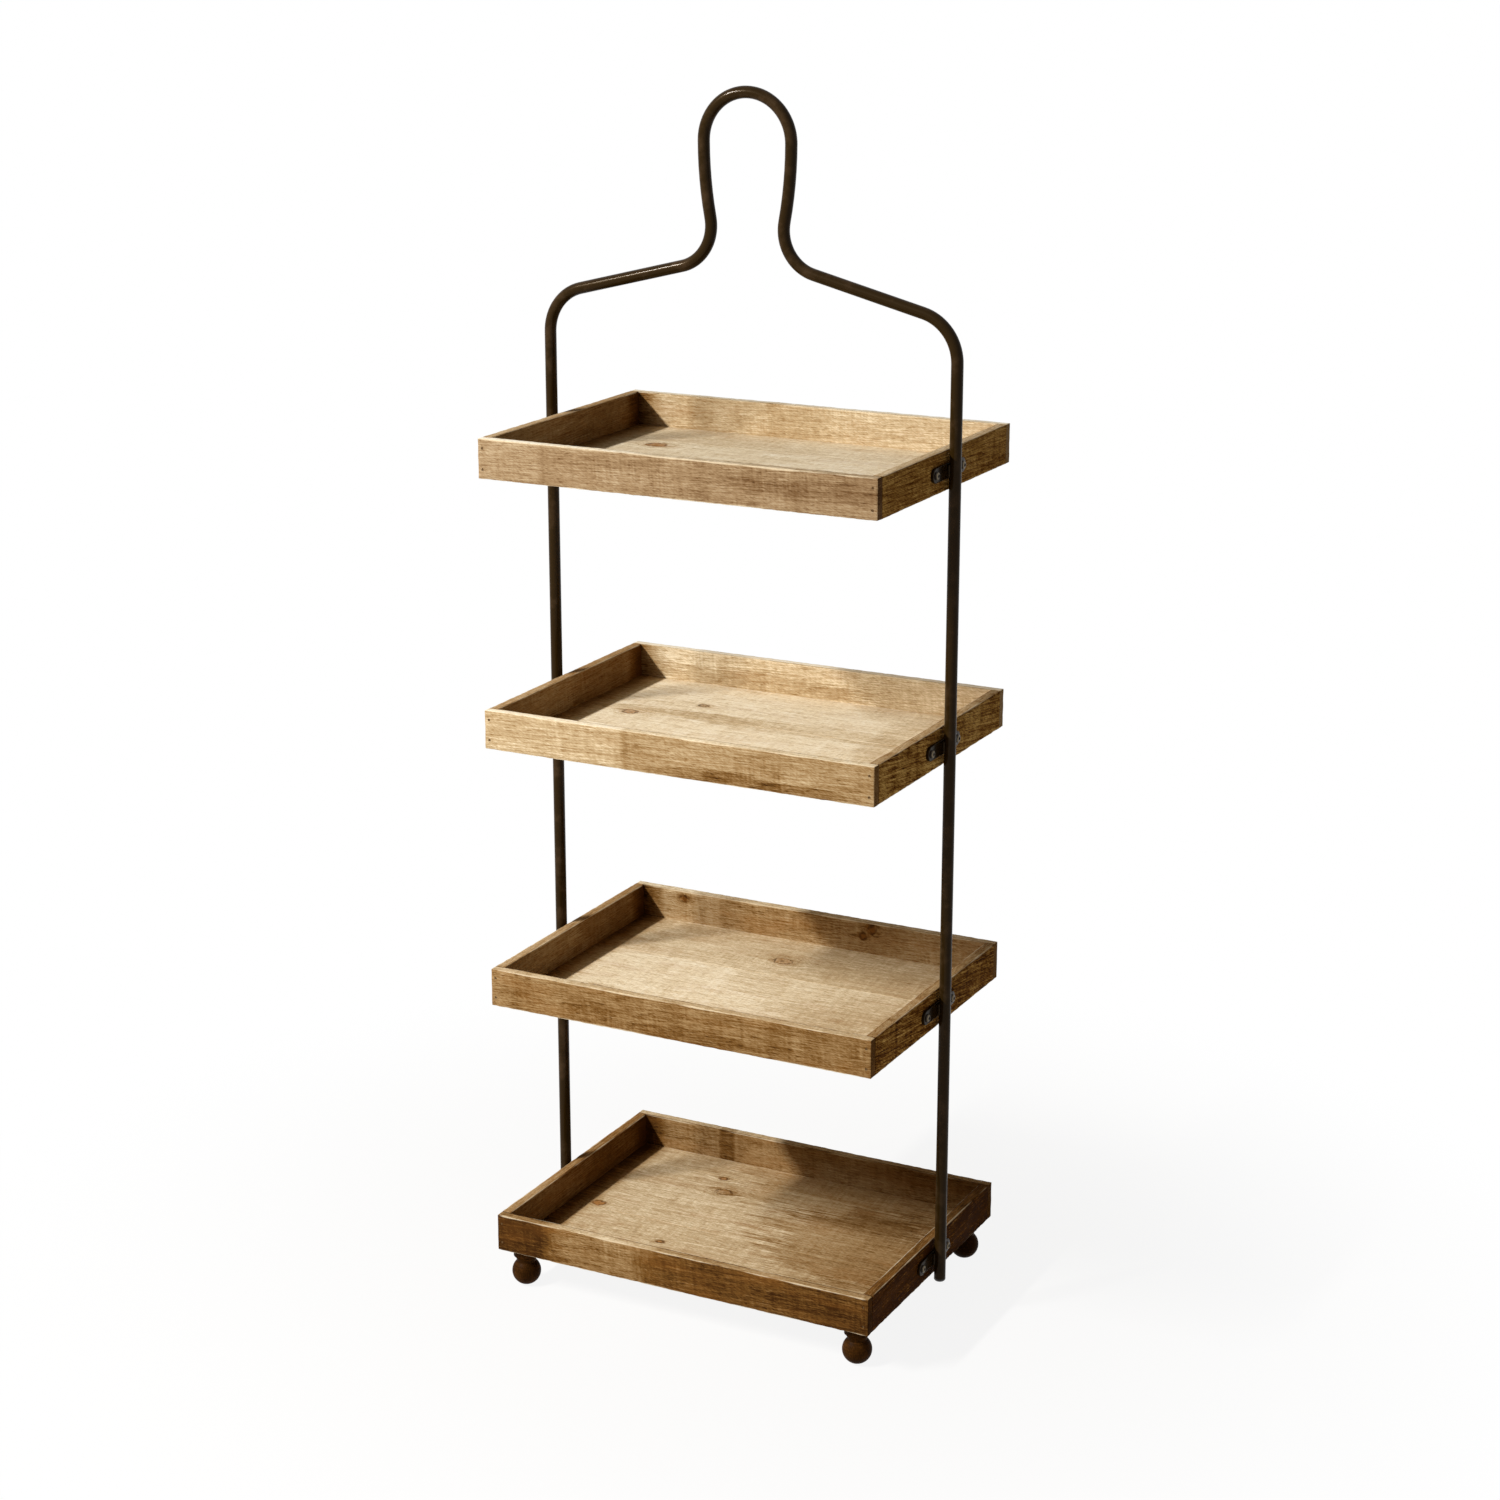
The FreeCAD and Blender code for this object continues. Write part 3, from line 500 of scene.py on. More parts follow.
def sawn_pine(node, axes):
    """Pine board, band-sawn, stained brown and rubbed back by hand.

    The saw leaves faint lines and stripes across the board, the stain gathers in the soft grain and is
    rubbed off the arrises and the upper edge, and the surface stays dull. Painted light and painted shade
    lie over this in places: on the upper edges, along the floor's left edge, in the back-left corner and in
    marks noted per board.
    """
    wood = bpy.context.scene.shelf_wood
    look = BOARD_LOOKS[node]
    material, add, place = new_material(f"sawn_stained_pine_{node}")
    facing = add("SeparateXYZ", [place.node.outputs["Normal"]]).outputs
    # The spot on the board is in millimetres from its middle, along its own axes.
    low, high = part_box(node)
    middle = [(low[axis] + high[axis]) / 2 / MM for axis in axes]
    half = [(high[axis] - low[axis]) / 2 / MM for axis in axes]
    split = add("SeparateXYZ", [place])
    spot = add("CombineXYZ", [split.outputs[axis] for axis in axes])
    spot = add("VectorMath MULTIPLY", [spot, [1 / MM] * 3])
    spot = add("VectorMath SUBTRACT", [spot, middle])
    parts = add("SeparateXYZ", [spot]).outputs

    # Each board, and each strip beyond a glue line, is cut from another place in the log.
    grain, heart, black, shade = bend_round_knots(add, spot, look.get("knots", ()))
    grain = add("VectorMath ADD", [grain, [part * 3.1 + 17 for part in middle]])
    tone = look["tone"]
    for v, change in look.get("seams", ()):
        beyond = add("MapRange", [parts[1], v - 0.3, v + 0.3])
        shift = add("VectorMath SCALE", [(313, 57, 91), beyond])
        grain = add("VectorMath ADD", [grain, shift])
        tone = add("Math MULTIPLY_ADD", [beyond, change, tone])

    layers = {}
    figure = -sum(layer[-1] for layer in WOOD_LAYERS.values()) / 2
    for layer, (lengths, slant, detail, roughness, weight) in WOOD_LAYERS.items():
        turn = (0, 0, slant + look.get("slant", 0.0))
        sized = add("Mapping TEXTURE", {"Vector": grain, "Rotation": turn, "Scale": lengths})
        layers[layer] = add("TexNoise", [sized, 1.0, detail, roughness])
        if weight:
            figure = add("Math MULTIPLY_ADD", [layers[layer], weight, figure])

    ragged = add("Math SUBTRACT", [layers["patch"], 0.5])
    streaky = add("Math SUBTRACT", [layers["fibre"], 0.5])
    streaky = add("Math ADD", [streaky, ragged])
    tone = marked_tone(add, tone, look, spot, parts[0], streaky)
    tone = add("Math ADD", [tone, shade])
    # The contrast of a board is that of its sawn faces, and its upper edge keeps the usual one.
    contrast = add("MapRange", [facing[2], 0.6, 0.95, look.get("contrast", 1.0), 1.0])
    tone = add("Math MULTIPLY_ADD", [figure, contrast, tone])

    # Saw lines show in some patches only.
    sawn = add("MapRange", [layers["patch"], 0.4, 0.64])
    line = add("Math SUBTRACT", [layers["saw_line"], 0.5])
    saw = add("Math MULTIPLY", [line, sawn])
    fleck = add("MapRange", [layers["fleck"], 0.58, 0.7])
    tone = add("Math MULTIPLY_ADD", [saw, 0.24, tone])
    tone = add("Math MULTIPLY_ADD", [fleck, -0.16, tone])
    tone = edge_tone(add, tone, node, axes, parts, facing, middle, half)
    tone = add("Math MULTIPLY", [tone, 0.88])

    stops = [(0.0, wood.deep), (0.22, wood.dark), (0.44, wood.middle), (0.66, wood.pale)]
    stops += [(0.88, wood.bare), (1.0, wood.clean)]
    colour = add("ValToRGB", [tone], stops=stops)
    if "faded" in look:
        colour = add("HueSaturation", {"Saturation": 1 - look["faded"], "Color": colour})
    if "heartwood" in look:
        golden = add("MapRange", [facing[2], 0.6, 0.95, look["heartwood"], 0.0])
        colour = add("Mix RGBA", [golden, colour, wood.golden], blend_type="MULTIPLY")
    warm = add("MapRange", [layers["russet"], 0.5, 0.74, 0.0, 0.2])
    warm = add("Math ADD", [warm, look.get("warmth", 0.0)])
    warm = add("Math ADD", [heart, warm])
    warm = add("Math MINIMUM", [warm, 0.75])
    worn = arris_wear(add, parts, half, ragged, wood.wear)
    for share, shown in ((warm, wood.russet), (black, wood.deep), (worn, wood.bare)):
        colour = add("Mix RGBA", [share, colour, shown])

    rough = add("MapRange", [layers["blotch"], 0.3, 0.7, 0.78, 0.62])
    height = add("Math ADD", [layers["fibre"], layers["fuzz"]])
    height = add("Math MULTIPLY_ADD", [saw, 1.5, height])
    height = add("Math MULTIPLY_ADD", [fleck, -0.4, height])
    bump = add("Bump", {"Height": height, "Strength": 0.6, "Distance": 0.4 * MM})
    set_shader(material, Base_Color=colour, Roughness=rough, Normal=bump, IOR=1.5, Specular_IOR_Level=0.015)
    return material


def turned_beech():
    """Beech turned on a lathe, stained nearly black brown and waxed.

    Faint rings run round the foot where the tool cut it, and the wax gives a soft shine.
    """
    stain = bpy.context.scene.shelf_wood.foot
    material, add, place = new_material("turned_stained_beech")
    # Rings 1.8 mm apart up the foot, and pores 1 mm wide and 7 mm long, drawn coarse enough to show
    rings = add("VectorMath MULTIPLY", [place, (12, 12, 1 / (1.8 * MM))])
    rings = add("TexNoise", [rings, 1.0, 2.0])
    pores = add("VectorMath MULTIPLY", [place, (1 / MM, 1 / MM, 1 / (7 * MM))])
    pores = add("TexNoise", [pores, 1.0, 3.0])
    # The stain clouds over about 17 mm.
    cloud = add("TexNoise", [place, 60.0, 3.0])
    tone = add("Math MULTIPLY_ADD", [rings, 0.5, pores])
    tone = add("Math MULTIPLY_ADD", [cloud, 0.9, tone])
    tone = add("MapRange", [tone, 0.85, 1.55])
    thick = [part * 0.45 for part in stain]
    thin = [min(part * 2.1, 1) for part in stain]
    colour = add("ValToRGB", [tone], stops=[(0.0, thick), (0.5, stain), (1.0, thin)])
    rough = add("MapRange", [pores, 0.35, 0.65, 0.36, 0.56])
    height = add("Math MULTIPLY_ADD", [rings, 0.6, pores])
    bump = add("Bump", {"Height": height, "Strength": 0.5, "Distance": 0.2 * MM})
    set_shader(material, Base_Color=colour, Roughness=rough, Normal=bump, IOR=1.5, Specular_IOR_Level=0.015)
    return material


def powder_coat():
    """Steel with a baked bronze-black powder coat, made once for the tube and the straps.

    The coat flows to a fine orange peel with a satin shine, browner where it has been rubbed.
    """
    name = "bronze_powder_coat"
    if name in bpy.data.materials:
        return bpy.data.materials[name]
    steel = bpy.context.scene.shelf_steel
    material, add, place = new_material(name)
    # The peel is 1.2 mm across, a little coarser than real so that it shows, and the rubbing 30 mm.
    peel = add("TexNoise", [place, 1 / (1.2 * MM), 2.0])
    rub = add("TexNoise", [place, 1 / (30 * MM), 5.0, 0.65])
    share = add("MapRange", [rub, 0.5, 0.78, 0.0, 0.75])
    colour = add("Mix RGBA", [share, steel.coat, steel.rubbed])
    rough = add("MapRange", [rub, 0.35, 0.7, 0.26, 0.18])
    bump = add("Bump", {"Height": peel, "Strength": 0.02, "Distance": 0.03 * MM})
    set_shader(material, Base_Color=colour, Roughness=rough, Normal=bump, IOR=1.5, Specular_IOR_Level=0.05)
    set_shader(material, Specular_Tint=linear("#FFD79A"), Coat_Weight=0.08, Coat_Roughness=0.12)
    return material


def worn_screw_steel(radius):
    """Steel blackened in oil, whose raised edges have worn bright.

    A dull dark ground with a bright ring about the given radius from each screw's middle.
    """
    steel = bpy.context.scene.shelf_steel
    material, add, place = new_material("blackened_screw_steel")
    # Scratches and oil spots about 1.5 mm across
    spots = add("TexNoise", [place, 1 / (1.5 * MM), 3.0])
    reach = add("Attribute", attribute_name="from_axis").outputs["Fac"]
    off = add("Math SUBTRACT", [reach, radius / MM])
    off = add("Math ABSOLUTE", [off])
    off = add("Math MULTIPLY_ADD", [spots, -1.6, off])
    worn = add("MapRange SMOOTHSTEP", [off, -0.6, 0.5, 0.85, 0.0])
    colour = add("Mix RGBA", [worn, steel.screw, steel.bright])
    rough = add("MapRange", [spots, 0.3, 0.7, 0.3, 0.5])
    bump = add("Bump", {"Height": spots, "Strength": 0.2, "Distance": 0.1 * MM})
    set_shader(material, Base_Color=colour, Roughness=rough, Normal=bump, Metallic=0.8)
    return material


def drawn_steel():
    """Drawn steel wire of the brads and the bolts in the feet, stained over with the boards.

    Dull brown film over the metal, with fine dark spots where it has begun to rust.
    """
    steel = bpy.context.scene.shelf_steel
    material, add, place = new_material("drawn_steel_wire")
    # Rust spots 0.8 mm across
    spots = add("TexNoise", [place, 1 / (0.8 * MM), 4.0, 0.7])
    share = add("MapRange", [spots, 0.4, 0.65])
    colour = add("Mix RGBA", [share, steel.stained, steel.rubbed])
    rough = add("MapRange", [spots, 0.3, 0.7, 0.5, 0.7])
    set_shader(material, Base_Color=colour, Roughness=rough, Metallic=0.3, Specular_IOR_Level=0.1)
    return material


def moulded_nylon():
    """Black nylon moulded with a fine spark-eroded texture, so it is dull with a faint sheen."""
    plug = bpy.context.scene.shelf_steel.plug
    material, add, place = new_material("black_moulded_nylon")
    # The mould's texture is 0.5 mm across, and the scuffs 6 mm.
    grit = add("TexNoise", [place, 1 / (0.5 * MM), 2.0])
    scuff = add("TexNoise", [place, 1 / (6 * MM), 4.0])
    share = add("MapRange", [scuff, 0.45, 0.7])
    colour = add("Mix RGBA", [share, plug, [part * 2.4 for part in plug]])
    rough = add("MapRange", [grit, 0.3, 0.7, 0.5, 0.68])
    bump = add("Bump", {"Height": grit, "Strength": 0.3, "Distance": 0.08 * MM})
    set_shader(material, Base_Color=colour, Roughness=rough, Normal=bump, IOR=1.53)
    return material


def select_only(*pieces):
    """Deselects everything, then selects these pieces, with the last one active."""
    bpy.ops.object.select_all(action="DESELECT")
    for piece in pieces:
        piece.select_set(True)
        bpy.context.view_layer.objects.active = piece


def apply_place(piece):
    """Moves a piece's place, turn and scale into its mesh."""
    select_only(piece)
    bpy.ops.object.transform_apply(location=True, rotation=True, scale=True)


def start_piece(form, name, stretch=(1, 1, 1), **settings):
    """Adds a primitive to shape into a piece, stretched along its own axes, with its place in its mesh."""
    bpy.ops.object.select_all(action="DESELECT")
    getattr(bpy.ops.mesh, f"primitive_{form}_add")(**settings)
    piece = bpy.context.object
    piece.name = name
    piece.scale = stretch
    apply_place(piece)
    return piece


@contextmanager
def editing(piece, kind="", wanted=None):
    """Opens a piece in edit mode with all of it selected, or its vertices or edges that pass a test."""
    select_only(piece)
    bpy.ops.object.mode_set(mode="EDIT")
    bpy.ops.mesh.select_all(action="DESELECT" if wanted else "SELECT")
    if wanted:
        bpy.ops.mesh.select_mode(type={"vertices": "VERT", "edges": "EDGE"}[kind])
        bpy.ops.object.mode_set(mode="OBJECT")
        for item in getattr(piece.data, kind):
            item.select = wanted(item)
        bpy.ops.object.mode_set(mode="EDIT")
    yield
    bpy.ops.object.mode_set(mode="OBJECT")


def extrude(step):
    bpy.ops.mesh.extrude_region_move(TRANSFORM_OT_translate={"value": step})


def edge_ends(piece, edge):
    return [piece.data.vertices[index].co for index in edge.vertices]


def tidy_shell(piece):
    """Merges doubles and points every face outwards."""
    with editing(piece):
        bpy.ops.mesh.remove_doubles(threshold=TINY)
        bpy.ops.mesh.normals_make_consistent(inside=False)


def apply_modifier(piece, kind, **settings):
    """Adds a modifier and applies it."""
    modifier = piece.modifiers.new(kind, kind)
    for name, setting in settings.items():
        setattr(modifier, name, setting)
    select_only(piece)
    bpy.ops.object.modifier_apply(modifier=modifier.name)


def drop(piece):
    """Deletes a cutter or a blank that is no longer needed."""
    mesh = piece.data
    bpy.data.objects.remove(piece)
    bpy.data.meshes.remove(mesh)


def combine(piece, other, operation, keep=False):
    """Cuts a piece with another or joins them to one solid, then drops the other unless it is kept."""
    apply_modifier(piece, "BOOLEAN", object=other, operation=operation, solver="EXACT")
    if not keep:
        drop(other)


def copy_piece(blank, name, place, half_turn=False):
    """Copies a blank with its own mesh, turned half round the upright if asked, to its place."""
    select_only(blank)
    bpy.ops.object.duplicate(linked=False)
    piece = bpy.context.object
    piece.name = name
    piece.rotation_euler = (0, 0, math.pi if half_turn else 0)
    piece.location = place
    apply_place(piece)
    return piece


def join_pieces(name, pieces):
    select_only(*pieces)
    bpy.ops.object.join()
    bpy.context.object.name = name
    return bpy.context.object


def finish_piece(piece, material, slot, *nodes):
    """Smooths a piece, gives it its material, hides the nodes it stands for and hangs it on the root body.
    """
    apply_place(piece)
    bpy.ops.object.shade_smooth_by_angle(angle=math.radians(38))
    piece.data.name = piece.name
    piece.data.materials.clear()
    piece.data.materials.append(material)
    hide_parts(*nodes)
    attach(piece, "root")


def middle_of(node):
    low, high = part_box(node)
    return (low + high) / 2


def arc(centre, radius, start, end, steps):
    """Points along an arc, as (across, up), with its angles in radians."""
    angles = [start + (end - start) * step / steps for step in range(steps + 1)]
    return [(centre[0] + radius * math.cos(angle), centre[1] + radius * math.sin(angle)) for angle in angles]


def upright_arc(rise, aside):
    """Radius and angle of the arc that sets out upright, then rises and moves aside by these lengths."""
    radius = (rise**2 + aside**2) / (2 * aside)
    return radius, math.asin(rise / radius)


def turn_on_lathe(name, profile, sides):
    """Turns a closed form round Z from its rings, each a radius and a height, from the bottom up."""
    radius, height = profile[0]
    start = {"vertices": sides, "radius": radius, "fill_type": "NGON", "location": (0, 0, height)}
    piece = start_piece("circle", name, **start)
    with editing(piece):
        for next_radius, next_height in profile[1:]:
            extrude((0, 0, next_height - height))
            share = next_radius / radius
            bpy.ops.transform.resize(value=(share, share, 1), center_override=(0, 0, next_height))
            radius, height = next_radius, next_height
    tidy_shell(piece)
    return piece


def roughen(piece, reach, depth, level=0.5, group=""):
    """Pushes a piece's faces in and out by soft noise, whose reach is given along X, Y and Z."""
    texture = bpy.data.textures.new("noise", "CLOUDS")
    texture.noise_scale = 1
    texture.noise_depth = 1
    bpy.ops.object.empty_add()
    guide = bpy.context.object
    guide.scale = reach
    bpy.context.view_layer.update()
    noise = {"texture": texture, "texture_coords": "OBJECT", "texture_coords_object": guide}
    apply_modifier(piece, "DISPLACE", strength=depth, mid_level=level, vertex_group=group, **noise)
    bpy.data.objects.remove(guide)
    bpy.data.textures.remove(texture)


def board_blank(name, node, axes, rows, open_ends):
    """Models a plain board about the origin, with its arrises rounded and kept as a group."""
    wood = bpy.context.scene.shelf_wood
    low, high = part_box(node)
    size = high - low
    along, across, through = axes
    start = Vector((0, 0, 0))
    start[through] = -size[through] / 2
    step = Vector((0, 0, 0))
    step[through] = size[through] / rows[1]
    board = start_piece(
        "grid",
        name,
        x_subdivisions=round(size[along] / wood.cell),
        y_subdivisions=rows[0],
        size=1,
        stretch=(size[along], size[across], 1),
        rotation=((math.pi / 2, 0, math.pi / 2), (math.pi / 2, 0, 0), (0, 0, 0))[through],
        location=start,
    )
    with editing(board):
        for _ in range(rows[1]):
            extrude(step)
    tidy_shell(board)

    def is_arris(edge):
        ends = edge_ends(board, edge)
        faces = [
            axis
            for axis in range(3)
            for sign in (-1, 1)
            if min(sign * end[axis] for end in ends) > size[axis] / 2 - TINY
        ]
        return len(faces) == 2 and (along not in faces or open_ends)

    with editing(board, "edges", is_arris):
        bpy.ops.mesh.bevel(offset=wood.arris, segments=2, profile=0.5, affect="EDGES")
        bpy.ops.object.vertex_group_add()
        bpy.ops.object.vertex_group_assign()
    board.vertex_groups[0].name = "arrises"
    return board


def saw_board(board, axes):
    """Gives a board in its place the uneven faces, saw marks and nicked arrises of rough timber."""
    wood = bpy.context.scene.shelf_wood
    swell = 75 * MM
    saw_width = 140 * MM
    saw_pitch = 3.6 * MM
    nick = 9 * MM
    ripple = Vector([saw_width] * 3)
    ripple[axes[0]] = saw_pitch
    roughen(board, [swell] * 3, wood.unevenness)
    roughen(board, ripple, wood.saw_depth)
    roughen(board, [nick] * 3, wood.nick_depth, level=0.66, group="arrises")


def open_seam(floor, across, top):
    """Opens a fine V groove along a glue line in the upper face of a floor."""
    half_width = 0.5 * MM
    depth = 0.45 * MM
    with editing(floor):
        for offset in (-half_width, 0, half_width):
            bpy.ops.mesh.select_all(action="SELECT")
            bpy.ops.mesh.bisect(plane_co=(0, across + offset, 0), plane_no=(0, 1, 0))

    def is_bottom(vertex):
        return abs(vertex.co.y - across) < TINY and vertex.co.z > top - 0.1 * depth

    with editing(floor, "vertices", is_bottom):
        bpy.ops.transform.translate(value=(0, 0, -depth))


def brad_places(tray):
    """Distances from the middle and heights at which the corner brads of a tray are driven."""
    low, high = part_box(f"{tray}_tray_corner_brads")
    heights = (low.z + BRAD_HEAD, high.z - BRAD_HEAD)
    return [(sign * (high.x - BRAD_HEAD), height) for sign in (-1, 1) for height in heights]


def tray_cutter(tray):
    """One cutter for all four rails of a tray: the rebate for the floor and the sunk brad holes."""
    floor_gap = 0.3 * MM
    overrun = 5 * MM
    hole_radius = 1.6 * MM
    hole_depth = 0.8 * MM
    low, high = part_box(f"{tray}_tray_floor")
    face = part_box(f"{tray}_tray_corner_brads")[1].y
    cutter = start_piece(
        "cube",
        "tray_cutter",
        size=1,
        location=(0, 0, (low.z + high.z - overrun) / 2),
        stretch=(2 * (high.x + floor_gap), 2 * (high.y + floor_gap), high.z - low.z + overrun),
    )
    hole = {"vertices": 16, "radius": hole_radius, "depth": 2 * hole_depth, "rotation": (math.pi / 2, 0, 0)}
    with editing(cutter):
        for x, z in brad_places(tray):
            for sign in ENDS.values():
                bpy.ops.mesh.primitive_cylinder_add(location=(x, sign * face, z), **hole)
    return cutter


class SHELF_OT_stage(bpy.types.Operator):
    """Sets the camera, the lamps, the room's light and the pale floor"""

    bl_idname = "shelf.stage"
    bl_label = "Stage"

    def execute(self, context):
        stage = context.scene.shelf_stage
        context.scene.view_settings.view_transform = "Standard"
        self.add_camera(context, stage)
        # The key strip lies along the depth of the shelf, so edges that run that way cast crisp shadows.
        level_with_key = Vector((0, stage.key_place[1], 0.7))
        middle = (CAD_BOX[0] + CAD_BOX[1]) / 2
        key_size = (stage.key_length, stage.key_width)
        fill_size = (stage.fill_size, stage.fill_size)
        self.add_lamp("key_strip", stage.key_place, level_with_key, stage.key_power, key_size)
        self.add_lamp("fill_lamp", stage.fill_place, middle, stage.fill_power, fill_size)
        self.light_room(context, stage)
        self.lay_floor(stage)
        return {"FINISHED"}

    def add_camera(self, context, stage):
        turn = (math.pi / 2 - stage.camera_pitch, 0, stage.camera_yaw)
        bpy.ops.object.camera_add(location=stage.camera_place, rotation=turn)
        camera = context.object
        camera.name = "camera"
        camera.data.lens = stage.lens
        camera.data.sensor_width = 36
        context.scene.camera = camera

    def add_lamp(self, name, place, target, power, size):
        """Adds an area lamp of this length and width that looks at the target."""
        bpy.ops.object.light_add(type="AREA", location=place)
        lamp = bpy.context.object
        lamp.name = name
        lamp.rotation_euler = (target - Vector(place)).to_track_quat("-Z", "Y").to_euler()
        lamp.data.energy = power
        lamp.data.shape = "RECTANGLE"
        lamp.data.size, lamp.data.size_y = size

    def seen_rays(self, add):
        """Gives 1 where a ray comes straight from the camera or off a shiny surface, and else 0."""
        path = add("LightPath").outputs
        seen = add("Math MAXIMUM", [path["Is Camera Ray"], path["Is Glossy Ray"]])
        return add("Math MAXIMUM", [seen, path["Is Transmission Ray"]])

    def light_room(self, context, stage):
        """The room is white to the eye, and lights the shelf softly."""
        world = context.scene.world or bpy.data.worlds.new("room")
        context.scene.world = world
        world.use_nodes = True
        world.node_tree.nodes.clear()
        add = partial(add_node, world.node_tree)
        fill = add("Background", [stage.room, stage.room_level])
        white = add("Background", [(1, 1, 1), 1.0])
        mix = add("MixShader", [self.seen_rays(add), fill, white])
        add("OutputWorld", {"Surface": mix})

    def lay_floor(self, stage):
        """A pale disc that keeps the shelf's shadow and fades to white further out."""
        radius = 3.0
        floor = start_piece("circle", "stage_floor", vertices=96, radius=radius, fill_type="NGON")
        with editing(floor):
            bpy.ops.mesh.inset(thickness=0.3 * radius)
        material, add, place = new_material("matt_studio_floor")
        reach = add("VectorMath LENGTH", [place])
        fade = add("MapRange SMOOTHSTEP", [reach, 0.3, 1.1, 0.89, 1.0])
        share = add("Math MULTIPLY", [fade, self.seen_rays(add)])
        # Roller marks in the matt paint, 20 mm across
        marks = add("TexNoise", [place, 1 / (20 * MM), 2.0])
        rough = add("MapRange", [marks, 0.3, 0.7, 0.85, 0.95])
        paint = set_shader(material, Base_Color=stage.floor, Roughness=rough, Specular_IOR_Level=0.1)
        glow = add("Emission", [(1, 1, 1), 1.0])
        mix = add("MixShader", [share, paint, glow])
        feed(material.node_tree, material.node_tree.nodes["Material Output"].inputs["Surface"], mix)
        floor.data.materials.append(material)


class SHELF_OT_frame_tube(bpy.types.Operator):
    """Bends the steel tube into legs, shoulders, neck and loop"""

    bl_idname = "shelf.frame_tube"
    bl_label = "Frame tube"

    def execute(self, context):
        steel = context.scene.shelf_steel
        low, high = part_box("frame_tube")
        radius = high.y
        leg_x = high.x - radius
        bend = steel.shoulder_bend
        slope = math.atan(steel.shoulder_fall)
        loop = steel.handle_half_width
        loop_z = high.z - radius - loop
        neck = Vector((steel.neck_half_width + steel.neck_bend, 0, loop_z - steel.handle_rise))
        corner_z = neck.z - (leg_x - neck.x) * steel.shoulder_fall - steel.neck_bend / math.cos(slope)
        leg_top = corner_z - bend * math.tan((math.pi / 2 - slope) / 2)
        # The waist is the arc that leaves the loop upright and meets the neck bend smoothly.
        both_radii, lean = upright_arc(steel.handle_rise, loop - steel.neck_half_width)
        waist = both_radii - steel.neck_bend
        # Both bends of a shoulder end on lines at right angles to its slope.
        shoulder = Vector((leg_x - bend, 0, leg_top))
        upward = Vector((math.sin(slope), 0, math.cos(slope)))
        run = (neck - steel.neck_bend * upward) - (shoulder + bend * upward)

        start = {"vertices": steel.tube_sides, "radius": radius, "location": (leg_x, 0, low.z)}
        tube = start_piece("circle", "bent_frame_tube", **start)
        with editing(tube):
            self.run_straight(Vector((0, 0, leg_top - low.z)), 12)
            self.bend_tube(shoulder, math.pi / 2 - slope, 1, 18)
            self.run_straight(run, 4)
            self.bend_tube(neck, math.pi / 2 - slope + lean, -1, 20)
            self.bend_tube((loop - waist, 0, loop_z), lean, 1, 6)
            self.bend_tube((0, 0, loop_z), math.pi / 2, 1, 24)
        apply_modifier(tube, "MIRROR", use_axis=(True, False, False), merge_threshold=0.1 * MM)
        tidy_shell(tube)
        apply_modifier(tube, "SOLIDIFY", thickness=steel.tube_wall, offset=-1)
        finish_piece(tube, powder_coat(), "tube_paint", "frame_tube")
        return {"FINISHED"}

    def run_straight(self, run, steps):
        for _ in range(steps):
            extrude(run / steps)

    def bend_tube(self, centre, angle, turn, steps):
        """Bends on round a centre: turn 1 is anticlockwise from the front, -1 clockwise."""
        bpy.ops.mesh.spin(steps=steps, angle=angle, center=centre, axis=(0, turn, 0), use_auto_merge=False)


class SHELF_OT_leg_plugs(bpy.types.Operator):
    """Turns the domed plugs that close the ends of the tube"""

    bl_idname = "shelf.leg_plugs"
    bl_label = "Leg plugs"

    def execute(self, context):
        low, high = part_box("right_leg_plug")
        radius = (high.x - low.x) / 2
        stem = radius - context.scene.shelf_steel.tube_wall
        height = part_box("frame_tube")[0].z - low.z
        rim = 0.8 * MM
        tip = 3 * MM
        dome, angle = upright_arc(height - rim, radius - tip)
        # The dome, from its flat tip to its rim, then the stem inside the tube
        profile = arc((radius - dome, height - rim), dome, -angle, 0, 6)
        profile += [(radius, height), (stem, height), (stem, high.z - low.z)]
        blank = turn_on_lathe("plug_blank", profile, 32)
        nylon = moulded_nylon()
        for side in SIDES:
            node = f"{side}_leg_plug"
            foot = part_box(node)[0].z
            plug = copy_piece(blank, f"{side}_domed_plug", (middle_of(node).x, 0, foot))
            finish_piece(plug, nylon, "plug_plastic", node)
        drop(blank)
        return {"FINISHED"}


class SHELF_OT_tray_rails(bpy.types.Operator):
    """Saws the rails of the trays, and cuts them for the floors and the brads"""

    bl_idname = "shelf.tray_rails"
    bl_label = "Tray rails"

    def execute(self, context):
        end_blank = board_blank("end_blank", "bottom_tray_front_rail", END_RAIL_AXES, (10, 4), True)
        side_blank = board_blank("side_blank", "bottom_tray_left_rail", SIDE_RAIL_AXES, (10, 4), False)
        for tray in TRAYS:
            cutter = tray_cutter(tray)
            for place in (*ENDS, *SIDES):
                blank, axes = (end_blank, END_RAIL_AXES) if place in ENDS else (side_blank, SIDE_RAIL_AXES)
                node = f"{tray}_tray_{place}_rail"
                rail = copy_piece(blank, f"{node}_board", middle_of(node))
                saw_board(rail, axes)
                combine(rail, cutter, "DIFFERENCE", keep=True)
                finish_piece(rail, sawn_pine(node, axes), "rail_wood", node)
            drop(cutter)
        drop(end_blank)
        drop(side_blank)
        return {"FINISHED"}


